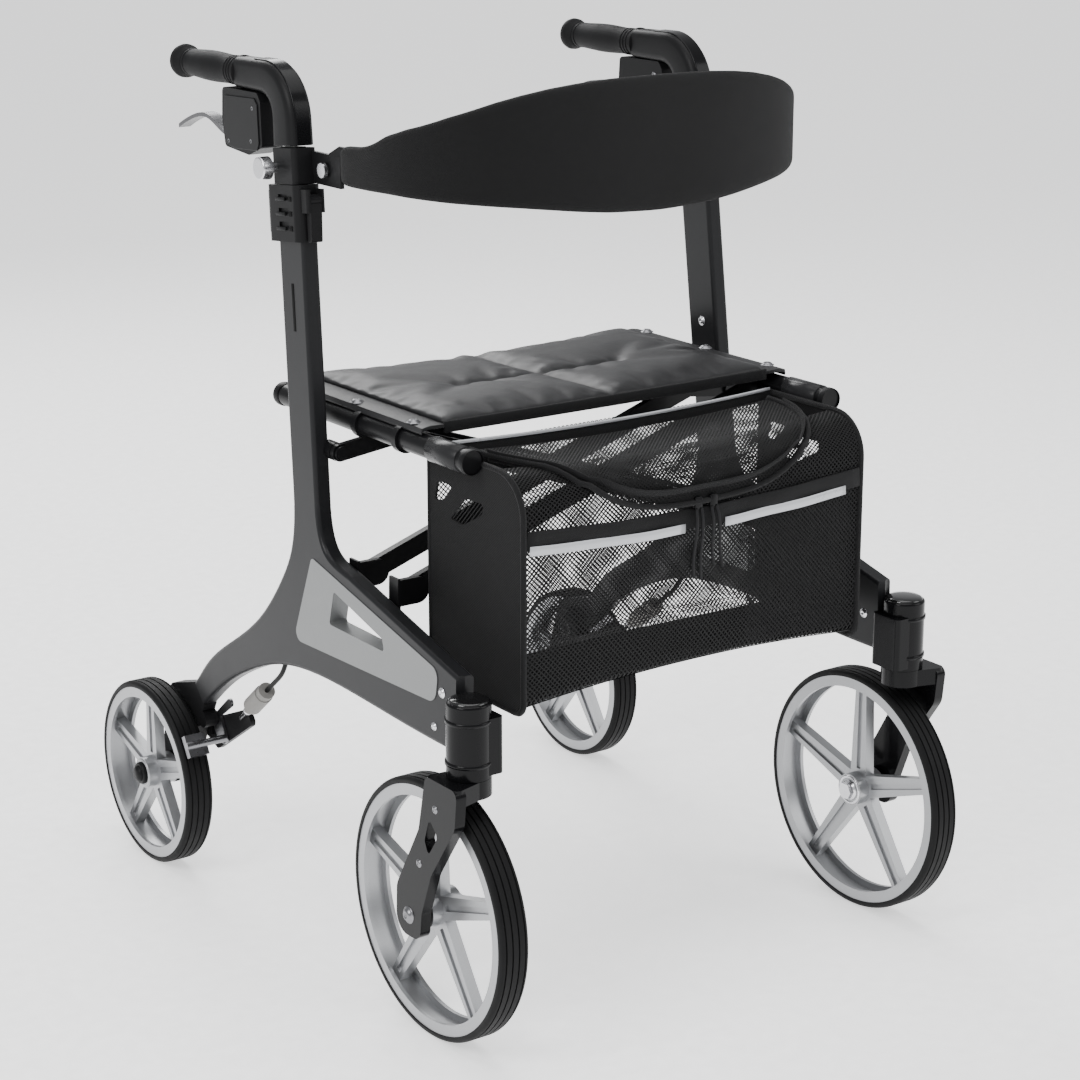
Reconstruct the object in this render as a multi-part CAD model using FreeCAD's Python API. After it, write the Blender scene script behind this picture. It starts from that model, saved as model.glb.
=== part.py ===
import FreeCAD, Part
import math
import os

from FreeCAD import Vector as V

# Folding four-wheeled rollator walker, in millimetres.
# +Z is up, -Y is the walking direction (front), +X is the user's left.
# The origin is on the floor, under the middle of the whole walker.

os.makedirs("parts", exist_ok=True)

X_AXIS = V(1, 0, 0)
Y_AXIS = V(0, 1, 0)
Z_AXIS = V(0, 0, 1)

# ---- fits -------------------------------------------------------------
RUN_FIT = 0.06          # radial clearance of a pin in its hole
SLIDE_FIT = 0.3         # clearance each side of a sliding stem
SEAT_GAP = 0.05         # between two rigid pieces of one body
SOFT_GAP = 0.4          # between a soft piece and what carries it

# ---- wheels -----------------------------------------------------------
FRONT_WHEEL_R = 127.5
FRONT_WHEEL_X = 264.6
FRONT_AXLE_Y = -253.0
REAR_WHEEL_R = 101.0
REAR_WHEEL_X = 284.3
REAR_AXLE_Y = 279.5
TYRE_WIDTH = 31.0
TYRE_THICK = 6.5
TYRE_EDGE_R = 5.0
TREAD_GROOVES = 4
TREAD_GROOVE_DEPTH = 1.2
TREAD_GROOVE_WIDTH = 1.6
RIM_WIDTH = 29.0
RIM_THICK = 3.5
RIM_LIP = 11.0
RIM_LIP_THICK = 4.0
SPOKES = 5
SPOKE_WIDTH_HUB = 24.0
SPOKE_WIDTH_RIM = 15.0
SPOKE_THICK = 11.0
SPOKE_GROOVE = 2.5
HUB_R = 17.0
HUB_LENGTH = 34.0
AXLE_R = 6.0

# ---- front fork and head tube -----------------------------------------
STEER_Y = -306.0
HEAD_R = 21.0
HEAD_BOTTOM = 276.0
HEAD_TOP = 341.0
HEAD_CAP = 7.0
STEM_R = 8.0
STEM_LENGTH = 68.0
CROWN_HEIGHT = 17.0
CROWN_GAP = 0.3
BLADE_THICK = 11.0
BLADE_GAP = 7.0
BLADE_BOSS_R = 22.0

# ---- side frame -------------------------------------------------------
POST_X = 249.2          # middle of the post at POST_REF_Z
POST_Y = -4.35
POST_REF_Z = 580.0
POST_DEPTH = 46.0
POST_BACK = 5.7         # rearward lean of the post, degrees
LEAN = 1.49             # inward lean of the whole side, degrees
FRAME_THICK = 18.0
FRAME_EDGE = 4.0
POST_TOP = 738.0
POCKET_BOTTOM = 500.0
TRIM_PROUD = 0.8

# ---- telescoping handle -----------------------------------------------
STEM_WIDE = 11.0
STEM_DEEP = 32.0
STEM_WALL = 1.8
STEM_BOTTOM = 545.0
HANDLE_TRAVEL = 120.0
COLLAR_BOTTOM = 718.0
COLLAR_TOP = 771.5
COLLAR_WIDE = 28.0
BLOCK_TOP = 806.0
BLOCK_WIDE = 26.0
BLOCK_DEEP = 42.0
NECK_R = 15.0
NECK_BEND = 40.0
GRIP_Z = 869.0
GRIP_R = 15.0
GRIP_FRONT = 110.0
GRIP_BACK = 238.0
GRIP_CORE_R = 11.0
KNOB_R = 11.0
KNOB_Y = 30.0
STRAP_FRONT = -55.0
STRAP_THICK = 4.0
STRAP_HEIGHT = 30.0

# ---- brake lever and rear brake ---------------------------------------
LEVER_Y = 108.0
LEVER_Z = 818.0
LEVER_WIDE = 13.0
LEVER_THICK = 4.0
LEVER_END = 238.0
HOUSING_WIDE = 24.0
LEVER_PIN_R = 3.0
BELL_Y = 247.0
BELL_Z = 172.0
BELL_R = 31.0
BELL_NECK_R = 22.0
ARM_THICK = 15.0
SHOE_GAP = 2.5
SHOE_PIVOT_Y = 203.0
SHOE_PIVOT_Z = 178.0
BARREL_R = 10.0
CABLE_R = 2.5

# ---- folding cross and seat -------------------------------------------
PIVOT_X = 215.0         # lower pivots, each side
PIVOT_Z = 402.0
RAIL_X = PIVOT_X        # the rails then rise straight up beside the posts
RAIL_Z = 547.0
RAIL_R = 11.0
RAIL_CAP_R = 11.6
RAIL_FRONT = -233.0
RAIL_BACK = 92.0
RAIL_WALL = 1.8
BAR_WIDE = 20.0
BAR_THICK = 8.0
BAR_GAP = 0.5
BAR_REAR_Y = -68.0      # front face of the rear bar of cross bar A
BAR_SPACING = 72.0      # rear pair to front pair
BAR_PIN_R = 5.0
EYE_R = 14.0
LUG_THICK = 6.0
LINK_X = 240.0
LINK_Z = 520.0
LINK_INNER_X = 75.0
LINK_WIDE = 17.0
LINK_THICK = 6.0
SEAT_FRONT = -168.0
SEAT_BACK = 85.0
SEAT_HALF = 221.0
SEAT_THICK = 12.0

# ---- bag and backrest -------------------------------------------------
BAG_FRONT = -303.0
BAG_BACK = -150.0
BAG_BOTTOM = 322.0
BAG_TOP = 540.0
BAG_WALL = 3.0
BAG_CORNER = 34.0
BAG_HEM = 8.0
LID_HINGE_Y = -186.0
LID_THICK = 5.0
BAND_HALF = 240.0
BAND_DEPTH = 186.0
BAND_THICK = 13.0
BAND_BOTTOM = 754.0
BAND_TOP = 872.0
BAND_POWER = 0.7


# ---- helpers ----------------------------------------------------------
def write(name, shape):
    """One STEP file per piece."""
    shape.exportStep("parts/" + name + ".step")


def rod_x(radius, x0, x1, y, z):
    return Part.makeCylinder(radius, abs(x1 - x0), V(min(x0, x1), y, z), X_AXIS)


def rod_y(radius, x, y0, y1, z):
    return Part.makeCylinder(radius, abs(y1 - y0), V(x, min(y0, y1), z), Y_AXIS)


def rod_z(radius, x, y, z0, z1):
    return Part.makeCylinder(radius, abs(z1 - z0), V(x, y, min(z0, z1)), Z_AXIS)


def block(x0, x1, y0, y1, z0, z1):
    corner = V(min(x0, x1), min(y0, y1), min(z0, z1))
    return Part.makeBox(abs(x1 - x0), abs(y1 - y0), abs(z1 - z0), corner)


def rounded_wire(corners, place):
    """Closed wire through corners (a, b, radius), set in space by place(a, b)."""
    count = len(corners)
    turns = []
    for i, (a, b, radius) in enumerate(corners):
        here = place(a, b)
        back = place(*corners[i - 1][:2]) - here
        ahead = place(*corners[(i + 1) % count][:2]) - here
        back.normalize()
        ahead.normalize()
        half = back.getAngle(ahead) / 2
        reach = radius / math.tan(half)
        middle = back + ahead
        if radius:
            middle.normalize()
        middle = here + middle * (radius / math.sin(half) - radius)
        turns.append((here + back * reach, middle, here + ahead * reach, radius))
    edges = []
    for i, (start, middle, end, radius) in enumerate(turns):
        if radius:
            edges.append(Part.Arc(start, middle, end).toShape())
        following = turns[(i + 1) % count][0]
        if (following - end).Length > 1e-6:
            edges.append(Part.LineSegment(end, following).toShape())
    return Part.Wire(edges)


def slab_yz(corners, x0, x1):
    """A plate outlined in the YZ plane, between two X values."""
    low = min(x0, x1)
    wire = rounded_wire(corners, lambda a, b: V(low, a, b))
    return Part.Face(wire).extrude(V(abs(x1 - x0), 0, 0))


def slab_xy(corners, z0, z1):
    wire = rounded_wire(corners, lambda a, b: V(a, b, z0))
    return Part.Face(wire).extrude(V(0, 0, z1 - z0))


def slab_xz(corners, y0, y1):
    wire = rounded_wire(corners, lambda a, b: V(a, y0, b))
    return Part.Face(wire).extrude(V(0, y1 - y0, 0))


def bent_path(points, radii):
    """Straight runs joined by tangent arcs."""
    edges = []
    start = points[0]
    for here, ahead, radius in zip(points[1:-1], points[2:], radii):
        inward = start - here
        outward = ahead - here
        inward.normalize()
        outward.normalize()
        half = inward.getAngle(outward) / 2
        reach = radius / math.tan(half)
        middle = inward + outward
        middle.normalize()
        first = here + inward * reach
        last = here + outward * reach
        crown = here + middle * (radius / math.sin(half) - radius)
        edges.append(Part.LineSegment(start, first).toShape())
        edges.append(Part.Arc(first, crown, last).toShape())
        start = last
    edges.append(Part.LineSegment(start, points[-1]).toShape())
    return Part.Wire(edges)


def tube_along(points, radii, radius):
    """Round bar of one radius along a bent path."""
    path = bent_path(points, radii)
    ring = Part.Wire(Part.makeCircle(radius, points[0], points[1] - points[0]))
    return path.makePipeShell([ring], True, False)


def leaned(shape):
    """Tip a left-hand piece inward with its side frame."""
    out = shape.copy()
    out.rotate(V(POST_X, 0, POST_REF_Z), Y_AXIS, -LEAN)
    return out


def on_post(shape):
    """Set a piece drawn about the post's own axis onto the leaning post."""
    out = shape.copy()
    out.rotate(V(0, 0, 0), X_AXIS, -POST_BACK)
    out.translate(V(POST_X, POST_Y, POST_REF_Z))
    return leaned(out)


def up_post(z):
    """Distance along the post's axis to a height z."""
    return (z - POST_REF_Z) / math.cos(math.radians(POST_BACK))


def post_y(z):
    return POST_Y + (z - POST_REF_Z) * math.tan(math.radians(POST_BACK))


def side_x(z):
    """Middle of the leaning side at a height z."""
    return POST_X - (z - POST_REF_Z) * math.tan(math.radians(LEAN))


def post_prism(wide, deep, z0, z1, corner, shift=0.0):
    """Rounded bar along the post's axis."""
    w = wide / 2
    d = deep / 2
    corners = [(-w, shift - d, corner), (w, shift - d, corner), (w, shift + d, corner), (-w, shift + d, corner)]
    return on_post(slab_xy(corners, up_post(z0), up_post(z1)))


def for_side(shape, side):
    """Left-hand pieces are drawn; the right-hand ones are their mirror image."""
    if side > 0:
        return shape
    return shape.mirror(V(0, 0, 0), X_AXIS)


def smooth_curve(points, start_along, end_along):
    """Curve through the points that leaves and arrives along two directions."""
    curve = Part.BSplineCurve()
    curve.interpolate(Points=points, InitialTangent=start_along.normalize(), FinalTangent=end_along.normalize())
    return curve


# ---- wheels -----------------------------------------------------------
def tyre(radius):
    """Solid tyre with rounded shoulders and grooves round the tread."""
    half = TYRE_WIDTH / 2
    inner = radius - TYRE_THICK
    corners = [(-half, inner, 0), (half, inner, 0), (half, radius, TYRE_EDGE_R), (-half, radius, TYRE_EDGE_R)]
    wire = rounded_wire(corners, lambda a, b: V(a, 0, b))
    body = Part.Face(wire).revolve(V(0, 0, 0), X_AXIS, 360)
    pitch = (TYRE_WIDTH - 2 * TYRE_EDGE_R) / (TREAD_GROOVES - 1)
    for i in range(TREAD_GROOVES):
        x = -half + TYRE_EDGE_R + i * pitch
        outer = rod_x(radius + 1, x - TREAD_GROOVE_WIDTH / 2, x + TREAD_GROOVE_WIDTH / 2, 0, 0)
        core = rod_x(radius - TREAD_GROOVE_DEPTH, x - TREAD_GROOVE_WIDTH, x + TREAD_GROOVE_WIDTH, 0, 0)
        body = body.cut(outer.cut(core))
    return body


def rim(radius):
    """Wheel with a wide rim band, five channelled spokes and a hub."""
    seat = radius - TYRE_THICK
    half = RIM_WIDTH / 2
    band = rod_x(seat, -half, half, 0, 0).cut(rod_x(seat - RIM_THICK, -half - 1, half + 1, 0, 0))
    lip_hole = rod_x(seat - RIM_LIP, -half - 1, half + 1, 0, 0)
    for x in (-half, half - RIM_LIP_THICK):
        band = band.fuse(rod_x(seat - RIM_THICK / 2, x, x + RIM_LIP_THICK, 0, 0).cut(lip_hole))
    body = band.fuse(rod_x(HUB_R, -HUB_LENGTH / 2, HUB_LENGTH / 2, 0, 0))
    reach = seat - RIM_THICK / 2
    root = HUB_R * 0.6
    for i in range(SPOKES):
        corners = [
            (-SPOKE_WIDTH_HUB / 2, root, 0),
            (SPOKE_WIDTH_HUB / 2, root, 0),
            (SPOKE_WIDTH_RIM / 2, reach, 0),
            (-SPOKE_WIDTH_RIM / 2, reach, 0),
        ]
        spoke = slab_yz(corners, -SPOKE_THICK / 2, SPOKE_THICK / 2)
        for x in (-SPOKE_THICK / 2, SPOKE_THICK / 2 - SPOKE_GROOVE):
            channel = block(x, x + SPOKE_GROOVE, -SPOKE_WIDTH_RIM / 5, SPOKE_WIDTH_RIM / 5, HUB_R + 4, seat - RIM_LIP)
            spoke = spoke.cut(channel)
        spoke.rotate(V(0, 0, 0), X_AXIS, i * 360 / SPOKES)
        body = body.fuse(spoke)
    bore = rod_x(AXLE_R + RUN_FIT, -HUB_LENGTH, HUB_LENGTH, 0, 0)
    return body.cut(bore).removeSplitter()


def placed(shape, x, y, z):
    out = shape.copy()
    out.translate(V(x, y, z))
    return out


def arm_faces():
    """Inner and outer X of the rear wheel's arm."""
    outer = REAR_WHEEL_X - HUB_LENGTH / 2 - 0.5
    return outer - ARM_THICK, outer


def rear_axle():
    """Shoulder bolt with a domed cap outside the hub."""
    outer = REAR_WHEEL_X + HUB_LENGTH / 2
    inner = arm_faces()[0]
    bolt = rod_x(AXLE_R, inner + 2, outer + 1, REAR_AXLE_Y, REAR_WHEEL_R)
    cap = rod_x(12.0, outer + 0.4, outer + 5, REAR_AXLE_Y, REAR_WHEEL_R)
    return bolt.fuse(cap.makeFillet(2.0, [cap.Edges[0]]))


def front_axle():
    """Bolt from the fork blade through the hub, with a nut on the inner end."""
    inner = FRONT_WHEEL_X - HUB_LENGTH / 2
    outer = FRONT_WHEEL_X + TYRE_WIDTH / 2 + BLADE_GAP + BLADE_THICK - 2
    bolt = rod_x(AXLE_R, inner - 2, outer, FRONT_AXLE_Y, FRONT_WHEEL_R)
    flat = 9.0
    corners = []
    for i in range(6):
        angle = math.radians(60 * i)
        corners.append((FRONT_AXLE_Y + flat * math.cos(angle), FRONT_WHEEL_R + flat * math.sin(angle), 0))
    return bolt.fuse(slab_yz(corners, inner - 7, inner - 0.4))


# ---- fork and head tube -----------------------------------------------
def fork():
    """Single-sided fork: steering stem, crown and an outer blade with a window."""
    x = FRONT_WHEEL_X
    crown_top = HEAD_BOTTOM - CROWN_GAP
    crown_bottom = crown_top - CROWN_HEIGHT
    blade_in = x + TYRE_WIDTH / 2 + BLADE_GAP
    blade_out = blade_in + BLADE_THICK
    axle_z = FRONT_WHEEL_R
    crown = rod_z(HEAD_R, x, STEER_Y, crown_bottom, crown_top)
    wing = slab_xy(
        [
            (x, STEER_Y - 20, 0),
            (blade_out, STEER_Y - 30, 6),
            (blade_out, STEER_Y + 22, 6),
            (x, STEER_Y + 20, 0),
        ],
        crown_bottom,
        crown_top,
    )
    blade = slab_yz(
        [
            (STEER_Y - 30, crown_top, 8),
            (STEER_Y - 26, 238, 20),
            (STEER_Y + 14, 180, 20),
            (FRONT_AXLE_Y - BLADE_BOSS_R, axle_z + 8, 10),
            (FRONT_AXLE_Y - BLADE_BOSS_R + 3, axle_z - BLADE_BOSS_R + 2, 12),
            (FRONT_AXLE_Y + BLADE_BOSS_R, axle_z - BLADE_BOSS_R, 18),
            (FRONT_AXLE_Y + BLADE_BOSS_R - 2, axle_z + 25, 20),
            (STEER_Y + 34, 220, 20),
            (STEER_Y + 22, crown_top, 8),
        ],
        blade_in,
        blade_out,
    )
    window = slab_yz(
        [
            (STEER_Y + 16, 236, 3),
            (STEER_Y + 2, 222, 5),
            (STEER_Y + 18, 199, 3),
            (STEER_Y + 24, 212, 5),
        ],
        blade_in - 1,
        blade_out + 1,
    )
    stem = rod_z(STEM_R, x, STEER_Y, crown_bottom, crown_bottom + STEM_LENGTH)
    boss = rod_x(13.0, x + HUB_LENGTH / 2 + 0.4, blade_in + 1, FRONT_AXLE_Y, axle_z)
    body = crown.fuse([wing, blade, stem, boss]).cut(window)
    return body.cut(rod_x(AXLE_R + SEAT_GAP, x, blade_out - 2, FRONT_AXLE_Y, axle_z)).removeSplitter()


def head_tube():
    """Steering head with an inboard boss and a domed cap."""
    x = FRONT_WHEEL_X
    barrel = rod_z(HEAD_R, x, STEER_Y, HEAD_BOTTOM, HEAD_TOP + HEAD_CAP)
    barrel = barrel.makeFillet(3.0, [e for e in barrel.Edges if e.CenterOfMass.z > HEAD_TOP + HEAD_CAP - 0.1])
    boss = slab_xy(
        [
            (x - 26, STEER_Y - 19, 5),
            (x, STEER_Y - 19, 0),
            (x, STEER_Y + 19, 0),
            (x - 26, STEER_Y + 19, 5),
        ],
        HEAD_BOTTOM + 3,
        HEAD_TOP - 8,
    )
    bore = rod_z(STEM_R + RUN_FIT, x, STEER_Y, HEAD_BOTTOM - 1, HEAD_BOTTOM + STEM_LENGTH - CROWN_HEIGHT + 1)
    return barrel.fuse(boss).cut(bore).removeSplitter()


# ---- side frame -------------------------------------------------------
# Corners of the silver trim in the front leg's window.
TRIM_CORNERS = [(-30, 414, 5), (4, 322, 10), (-252, 329, 13), (-256, 361, 12)]
TRIM_HOLE = [(-72, 390, 3), (-64, 355, 3), (-164, 354, 3), (-160, 366, 2)]


def frame_outline():
    """Post, arched rear leg and front leg as one closed outline."""
    def at(y, z):
        return V(0, y, z)

    top_y = post_y(POST_TOP)
    half = POST_DEPTH / 2
    front_top = at(top_y - half, POST_TOP)
    back_top = at(top_y + half, POST_TOP)
    front_low = at(post_y(470) - half, 470)
    back_low = at(post_y(480) + half, 480)
    leg_start = at(-100, 411)
    head_top = at(-300, 360)
    head_low = at(-300, 290)
    arch_start = at(-262, 290)
    tip_low = at(196, 197)
    tip_top = at(216, 217)
    crook = smooth_curve([front_low, at(-57, 424), leg_start], front_low - front_top, head_top - leg_start)
    arch = smooth_curve(
        [arch_start, at(-100, 295), at(-20, 294), at(45, 283), at(105, 259), at(155, 230), tip_low],
        arch_start - head_low,
        at(0.75, -0.66),
    )
    heel = smooth_curve(
        [tip_top, at(188, 247), at(134, 285), at(70, 332), at(30, 380), back_low],
        at(-0.68, 0.73),
        back_top - back_low,
    )
    return Part.Wire(
        [
            Part.LineSegment(front_top, front_low).toShape(),
            crook.toShape(),
            Part.LineSegment(leg_start, head_top).toShape(),
            Part.LineSegment(head_top, head_low).toShape(),
            Part.LineSegment(head_low, arch_start).toShape(),
            arch.toShape(),
            Part.LineSegment(tip_low, tip_top).toShape(),
            heel.toShape(),
            Part.LineSegment(back_low, back_top).toShape(),
            Part.LineSegment(back_top, front_top).toShape(),
        ]
    )


def cable_points():
    """Route of the brake cable from the brake's barrel up inside the post."""
    return [
        V(252.0, 88.0, 240.0),
        V(253.5, 50.0, 270.0),
        V(side_x(330), 16.0, 330.0),
        V(side_x(420), -12.0, 420.0),
        V(side_x(600), post_y(600), 600.0),
    ]


CABLE_BENDS = [60.0, 90.0, 120.0]


def side_frame():
    """Moulded side frame with its window, the stem's pocket and the cable's channel."""
    half = FRAME_THICK / 2
    plate = Part.Face(frame_outline()).extrude(V(FRAME_THICK, 0, 0))
    plate.translate(V(POST_X - half, 0, 0))
    plate = plate.makeFillet(FRAME_EDGE, [e for e in plate.Edges if e.Length > 80])
    plate = plate.cut(slab_yz(TRIM_CORNERS, POST_X - half - 1, POST_X + half + 1))
    plate = leaned(plate)
    pocket = post_prism(STEM_WIDE + 2 * SLIDE_FIT, STEM_DEEP + 2 * SLIDE_FIT, POCKET_BOTTOM, POST_TOP + 5, 3.0 + SLIDE_FIT)
    channel = tube_along(cable_points(), CABLE_BENDS, CABLE_R + SLIDE_FIT)
    head = rod_z(HEAD_R + SEAT_GAP, FRONT_WHEEL_X, STEER_Y, 200, 400)
    boss = block(FRONT_WHEEL_X - 26 - SEAT_GAP, FRONT_WHEEL_X, STEER_Y - 19 - SEAT_GAP, STEER_Y + 19 + SEAT_GAP, 200, 400)
    return plate.cut(pocket).cut(channel).cut(head).cut(boss).removeSplitter()


def frame_trim():
    """Silver trim in the window, with a smaller window of its own."""
    half = FRAME_THICK / 2 + TRIM_PROUD
    ring = slab_yz(TRIM_CORNERS, POST_X - half, POST_X + half)
    hole = slab_yz(TRIM_HOLE, POST_X - half - 1, POST_X + half + 1)
    return leaned(ring.cut(hole))


def wheel_arm():
    """Black arm from the frame's rear tip to the axle, with the bell-shaped brake cover."""
    x0, x1 = arm_faces()
    arm = slab_yz(
        [
            (196.5, 196.5, 0),
            (216.5, 216.5, 0),
            (272, 200, 10),
            (302, 106, 10),
            (284, 80, 14),
            (256, 92, 10),
            (222, 150, 10),
        ],
        x0,
        x1,
    )
    inner = x0 - 12
    profile = rounded_wire(
        [
            (inner, 0, 0),
            (inner, BELL_NECK_R, 5),
            (x1 - 8, BELL_NECK_R + 2, 6),
            (x1 - 3, BELL_R, 2),
            (x1, BELL_R, 0),
            (x1, 0, 0),
        ],
        lambda a, b: V(a, BELL_Y, BELL_Z + b),
    )
    bell = Part.Face(profile).revolve(V(0, BELL_Y, BELL_Z), X_AXIS, 360)
    lug = rod_x(9.0, x0, x1, SHOE_PIVOT_Y, SHOE_PIVOT_Z)
    web = slab_yz([(197, 186, 0), (230, 196, 0), (234, 160, 0), (206, 170, 0)], x0, x1)
    holder = slab_yz([(232, 150, 4), (205, 140, 6), (128, 190, 6), (140, 204, 6), (226, 168, 4)], x0 - 10, x0 - 4)
    bridge = block(x0 - 10, x0 + 1, 214, 232, 154, 166)
    body = arm.fuse([bell, lug, web, holder, bridge])
    body = body.cut(rod_x(AXLE_R + SEAT_GAP, x0 + 2, x1 + 1, REAR_AXLE_Y, REAR_WHEEL_R))
    body = body.cut(rod_x(4.0 + RUN_FIT, x0 - 1, x1 - 2, SHOE_PIVOT_Y, SHOE_PIVOT_Z))
    return body.removeSplitter()



def brake_arm():
    """Bright link on a pin, with a cross bar and the shoe that meets the tread."""
    x0 = arm_faces()[0]
    pin = rod_x(4.0, x0 - 4, x0 + ARM_THICK - 3, SHOE_PIVOT_Y, SHOE_PIVOT_Z)
    link = slab_yz([(212, 174, 5), (196, 152, 6), (176, 152, 6), (192, 182, 4), (164, 202, 4), (170, 209, 4)], x0 - 3.6, x0 - 0.4)
    inner_x = REAR_WHEEL_X - TYRE_WIDTH / 2
    outer_x = REAR_WHEEL_X + TYRE_WIDTH / 2
    bar = rod_x(4.0, x0 - 1, outer_x - 2, 182, 160)
    away = V(0, 182 - REAR_AXLE_Y, 160 - REAR_WHEEL_R)
    away.normalize()
    face = REAR_WHEEL_R + SHOE_GAP
    shoe = block(inner_x + 4, outer_x - 4, -12, 12, face + 1.5, face + 9)
    tilt = math.degrees(math.atan2(-away.y, away.z))
    shoe.rotate(V(0, 0, 0), X_AXIS, tilt)
    shoe.translate(V(0, REAR_AXLE_Y, REAR_WHEEL_R))
    shoe = shoe.cut(rod_x(face, inner_x - 5, outer_x + 5, REAR_AXLE_Y, REAR_WHEEL_R))
    return link.fuse([pin, bar, shoe]).removeSplitter()


def cable_adjuster():
    """Grey barrel adjuster with a hexagon end, on the cable's line."""
    ends = cable_points()
    along = ends[0] - ends[1]
    along.normalize()
    start = ends[0] - along * 2
    barrel = Part.makeCylinder(BARREL_R, 34, start + along * 9, along)
    hexagon = Part.makeCylinder(BARREL_R - 1, 9, start, along)
    foot = Part.makeCylinder(5.0, 12, start + along * 43, along)
    bore = Part.makeCylinder(CABLE_R + SEAT_GAP, 20, start - along, along)
    return barrel.fuse([hexagon, foot]).cut(bore).removeSplitter()


def brake_cable():
    return tube_along(cable_points(), CABLE_BENDS, CABLE_R)


# ---- post top and handle ----------------------------------------------
def clamp_pivot():
    """The clamp lever's pin, in the post's own (across, along) directions."""
    return -POST_DEPTH / 2 - 9.5, up_post(COLLAR_TOP) - 14


def collar():
    """Clamp collar round the post's top, with slots and a rearward flange."""
    half = POST_DEPTH / 2
    shell = post_prism(COLLAR_WIDE, POST_DEPTH + 14, COLLAR_BOTTOM, COLLAR_TOP, 9.0, 4.0)
    flange = post_prism(COLLAR_WIDE - 10, 14, COLLAR_BOTTOM + 8, COLLAR_TOP - 6, 4.0, half + 10)
    ears = post_prism(20, 14, COLLAR_TOP - 26, COLLAR_TOP - 4, 3.0, -half - 8)
    body = shell.fuse([flange, ears])
    gap = 2 * SEAT_GAP
    body = body.cut(post_prism(FRAME_THICK + gap, POST_DEPTH + gap, COLLAR_BOTTOM - 2, POST_TOP + 3, FRAME_EDGE))
    body = body.cut(post_prism(STEM_WIDE + 2 * SLIDE_FIT, STEM_DEEP + 2 * SLIDE_FIT, POST_TOP - 1, COLLAR_TOP + 2, 3.0))
    slot_pitch = 13.0
    for i in range(3):
        w = up_post(COLLAR_BOTTOM) + 14 + i * slot_pitch
        body = body.cut(on_post(block(COLLAR_WIDE / 2 - 2, COLLAR_WIDE / 2 + 1, -8, 10, w, w + 5)))
    v, w = clamp_pivot()
    mouth = block(-6.4, 6.4, v - 8, v + 6, w - 14, w + 12)
    body = body.cut(on_post(mouth))
    pin = rod_x(2.5, -9, 9, v, w)
    return body.fuse(on_post(pin)).removeSplitter()


def clamp_lever():
    """Flap that lies down the front of the collar and swings up to free the stem."""
    v, w = clamp_pivot()
    flap = slab_yz([(v - 1, w - 3, 0), (v - 5, w - 3, 1), (v - 3, w - 40, 2), (v + 4, w - 40, 2), (v + 4, w - 5, 1)], -6, 6)
    flap = flap.fuse(rod_x(5.5, -6, 6, v, w)).cut(rod_x(2.5 + RUN_FIT, -7, 7, v, w))
    return on_post(flap.removeSplitter())


def handle_stem():
    """Hollow stem that slides in the post, and the bent neck above it."""
    z_low = STEM_BOTTOM
    outer = post_prism(STEM_WIDE, STEM_DEEP, z_low, BLOCK_TOP + 1, 3.0)
    inner = post_prism(STEM_WIDE - 2 * STEM_WALL, STEM_DEEP - 2 * STEM_WALL, z_low - 1, BLOCK_TOP - 20, 1.5)
    return outer.cut(inner)


def neck_points():
    base = V(POST_X, post_y(BLOCK_TOP + 1), BLOCK_TOP + 1)
    corner = V(POST_X, post_y(GRIP_Z), GRIP_Z)
    end = V(POST_X, GRIP_FRONT - 0.2, GRIP_Z)
    return [base, corner, end]


def handle_neck():
    """Gooseneck shell from the height block up and back to the grip's core."""
    points = neck_points()
    neck = tube_along(points, [NECK_BEND], NECK_R)
    core = rod_y(GRIP_CORE_R, POST_X, GRIP_FRONT - 2, GRIP_BACK - 12, GRIP_Z)
    return leaned(neck.fuse(core))


def grip():
    """Rubber grip with a rounded end, over the core."""
    body = rod_y(GRIP_R, POST_X, GRIP_FRONT, GRIP_BACK, GRIP_Z)
    body = body.makeFillet(8.0, [e for e in body.Edges if e.CenterOfMass.y > GRIP_BACK - 0.1 and e.Closed])
    return leaned(body.cut(rod_y(GRIP_CORE_R + SEAT_GAP, POST_X, GRIP_FRONT - 3, GRIP_BACK - 11.9, GRIP_Z)))


def handle_block():
    """Block on the stem, with the forward plate that carries the backrest."""
    body = post_prism(BLOCK_WIDE, BLOCK_DEEP, COLLAR_TOP + 0.6, BLOCK_TOP, 5.0)
    low = COLLAR_TOP + 3
    inner = side_x(low) - BLOCK_WIDE / 2
    plate = block(inner + 1, inner + 1 + STRAP_THICK, STRAP_FRONT, post_y(low), low, low + STRAP_HEIGHT)
    body = body.fuse(plate)
    gap = 2 * SEAT_GAP
    body = body.cut(post_prism(STEM_WIDE + gap, STEM_DEEP + gap, COLLAR_TOP - 2, BLOCK_TOP + 2, 3.0))
    outer = side_x(787) + BLOCK_WIDE / 2
    return body.cut(rod_x(5.0 + RUN_FIT, outer - 5, outer + 2, KNOB_Y, 787)).removeSplitter()


def thumb_knob():
    """Bright clamping knob on the outer face of the block."""
    outer = side_x(787) + BLOCK_WIDE / 2
    stem = rod_x(5.0, outer - 4.5, outer + 9, KNOB_Y, 787)
    head = rod_x(KNOB_R, outer + 8, outer + 19, KNOB_Y, 787)
    head = head.makeFillet(1.5, [e for e in head.Edges if e.Closed and e.CenterOfMass.x > outer + 18.9])
    return stem.fuse(head)


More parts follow.
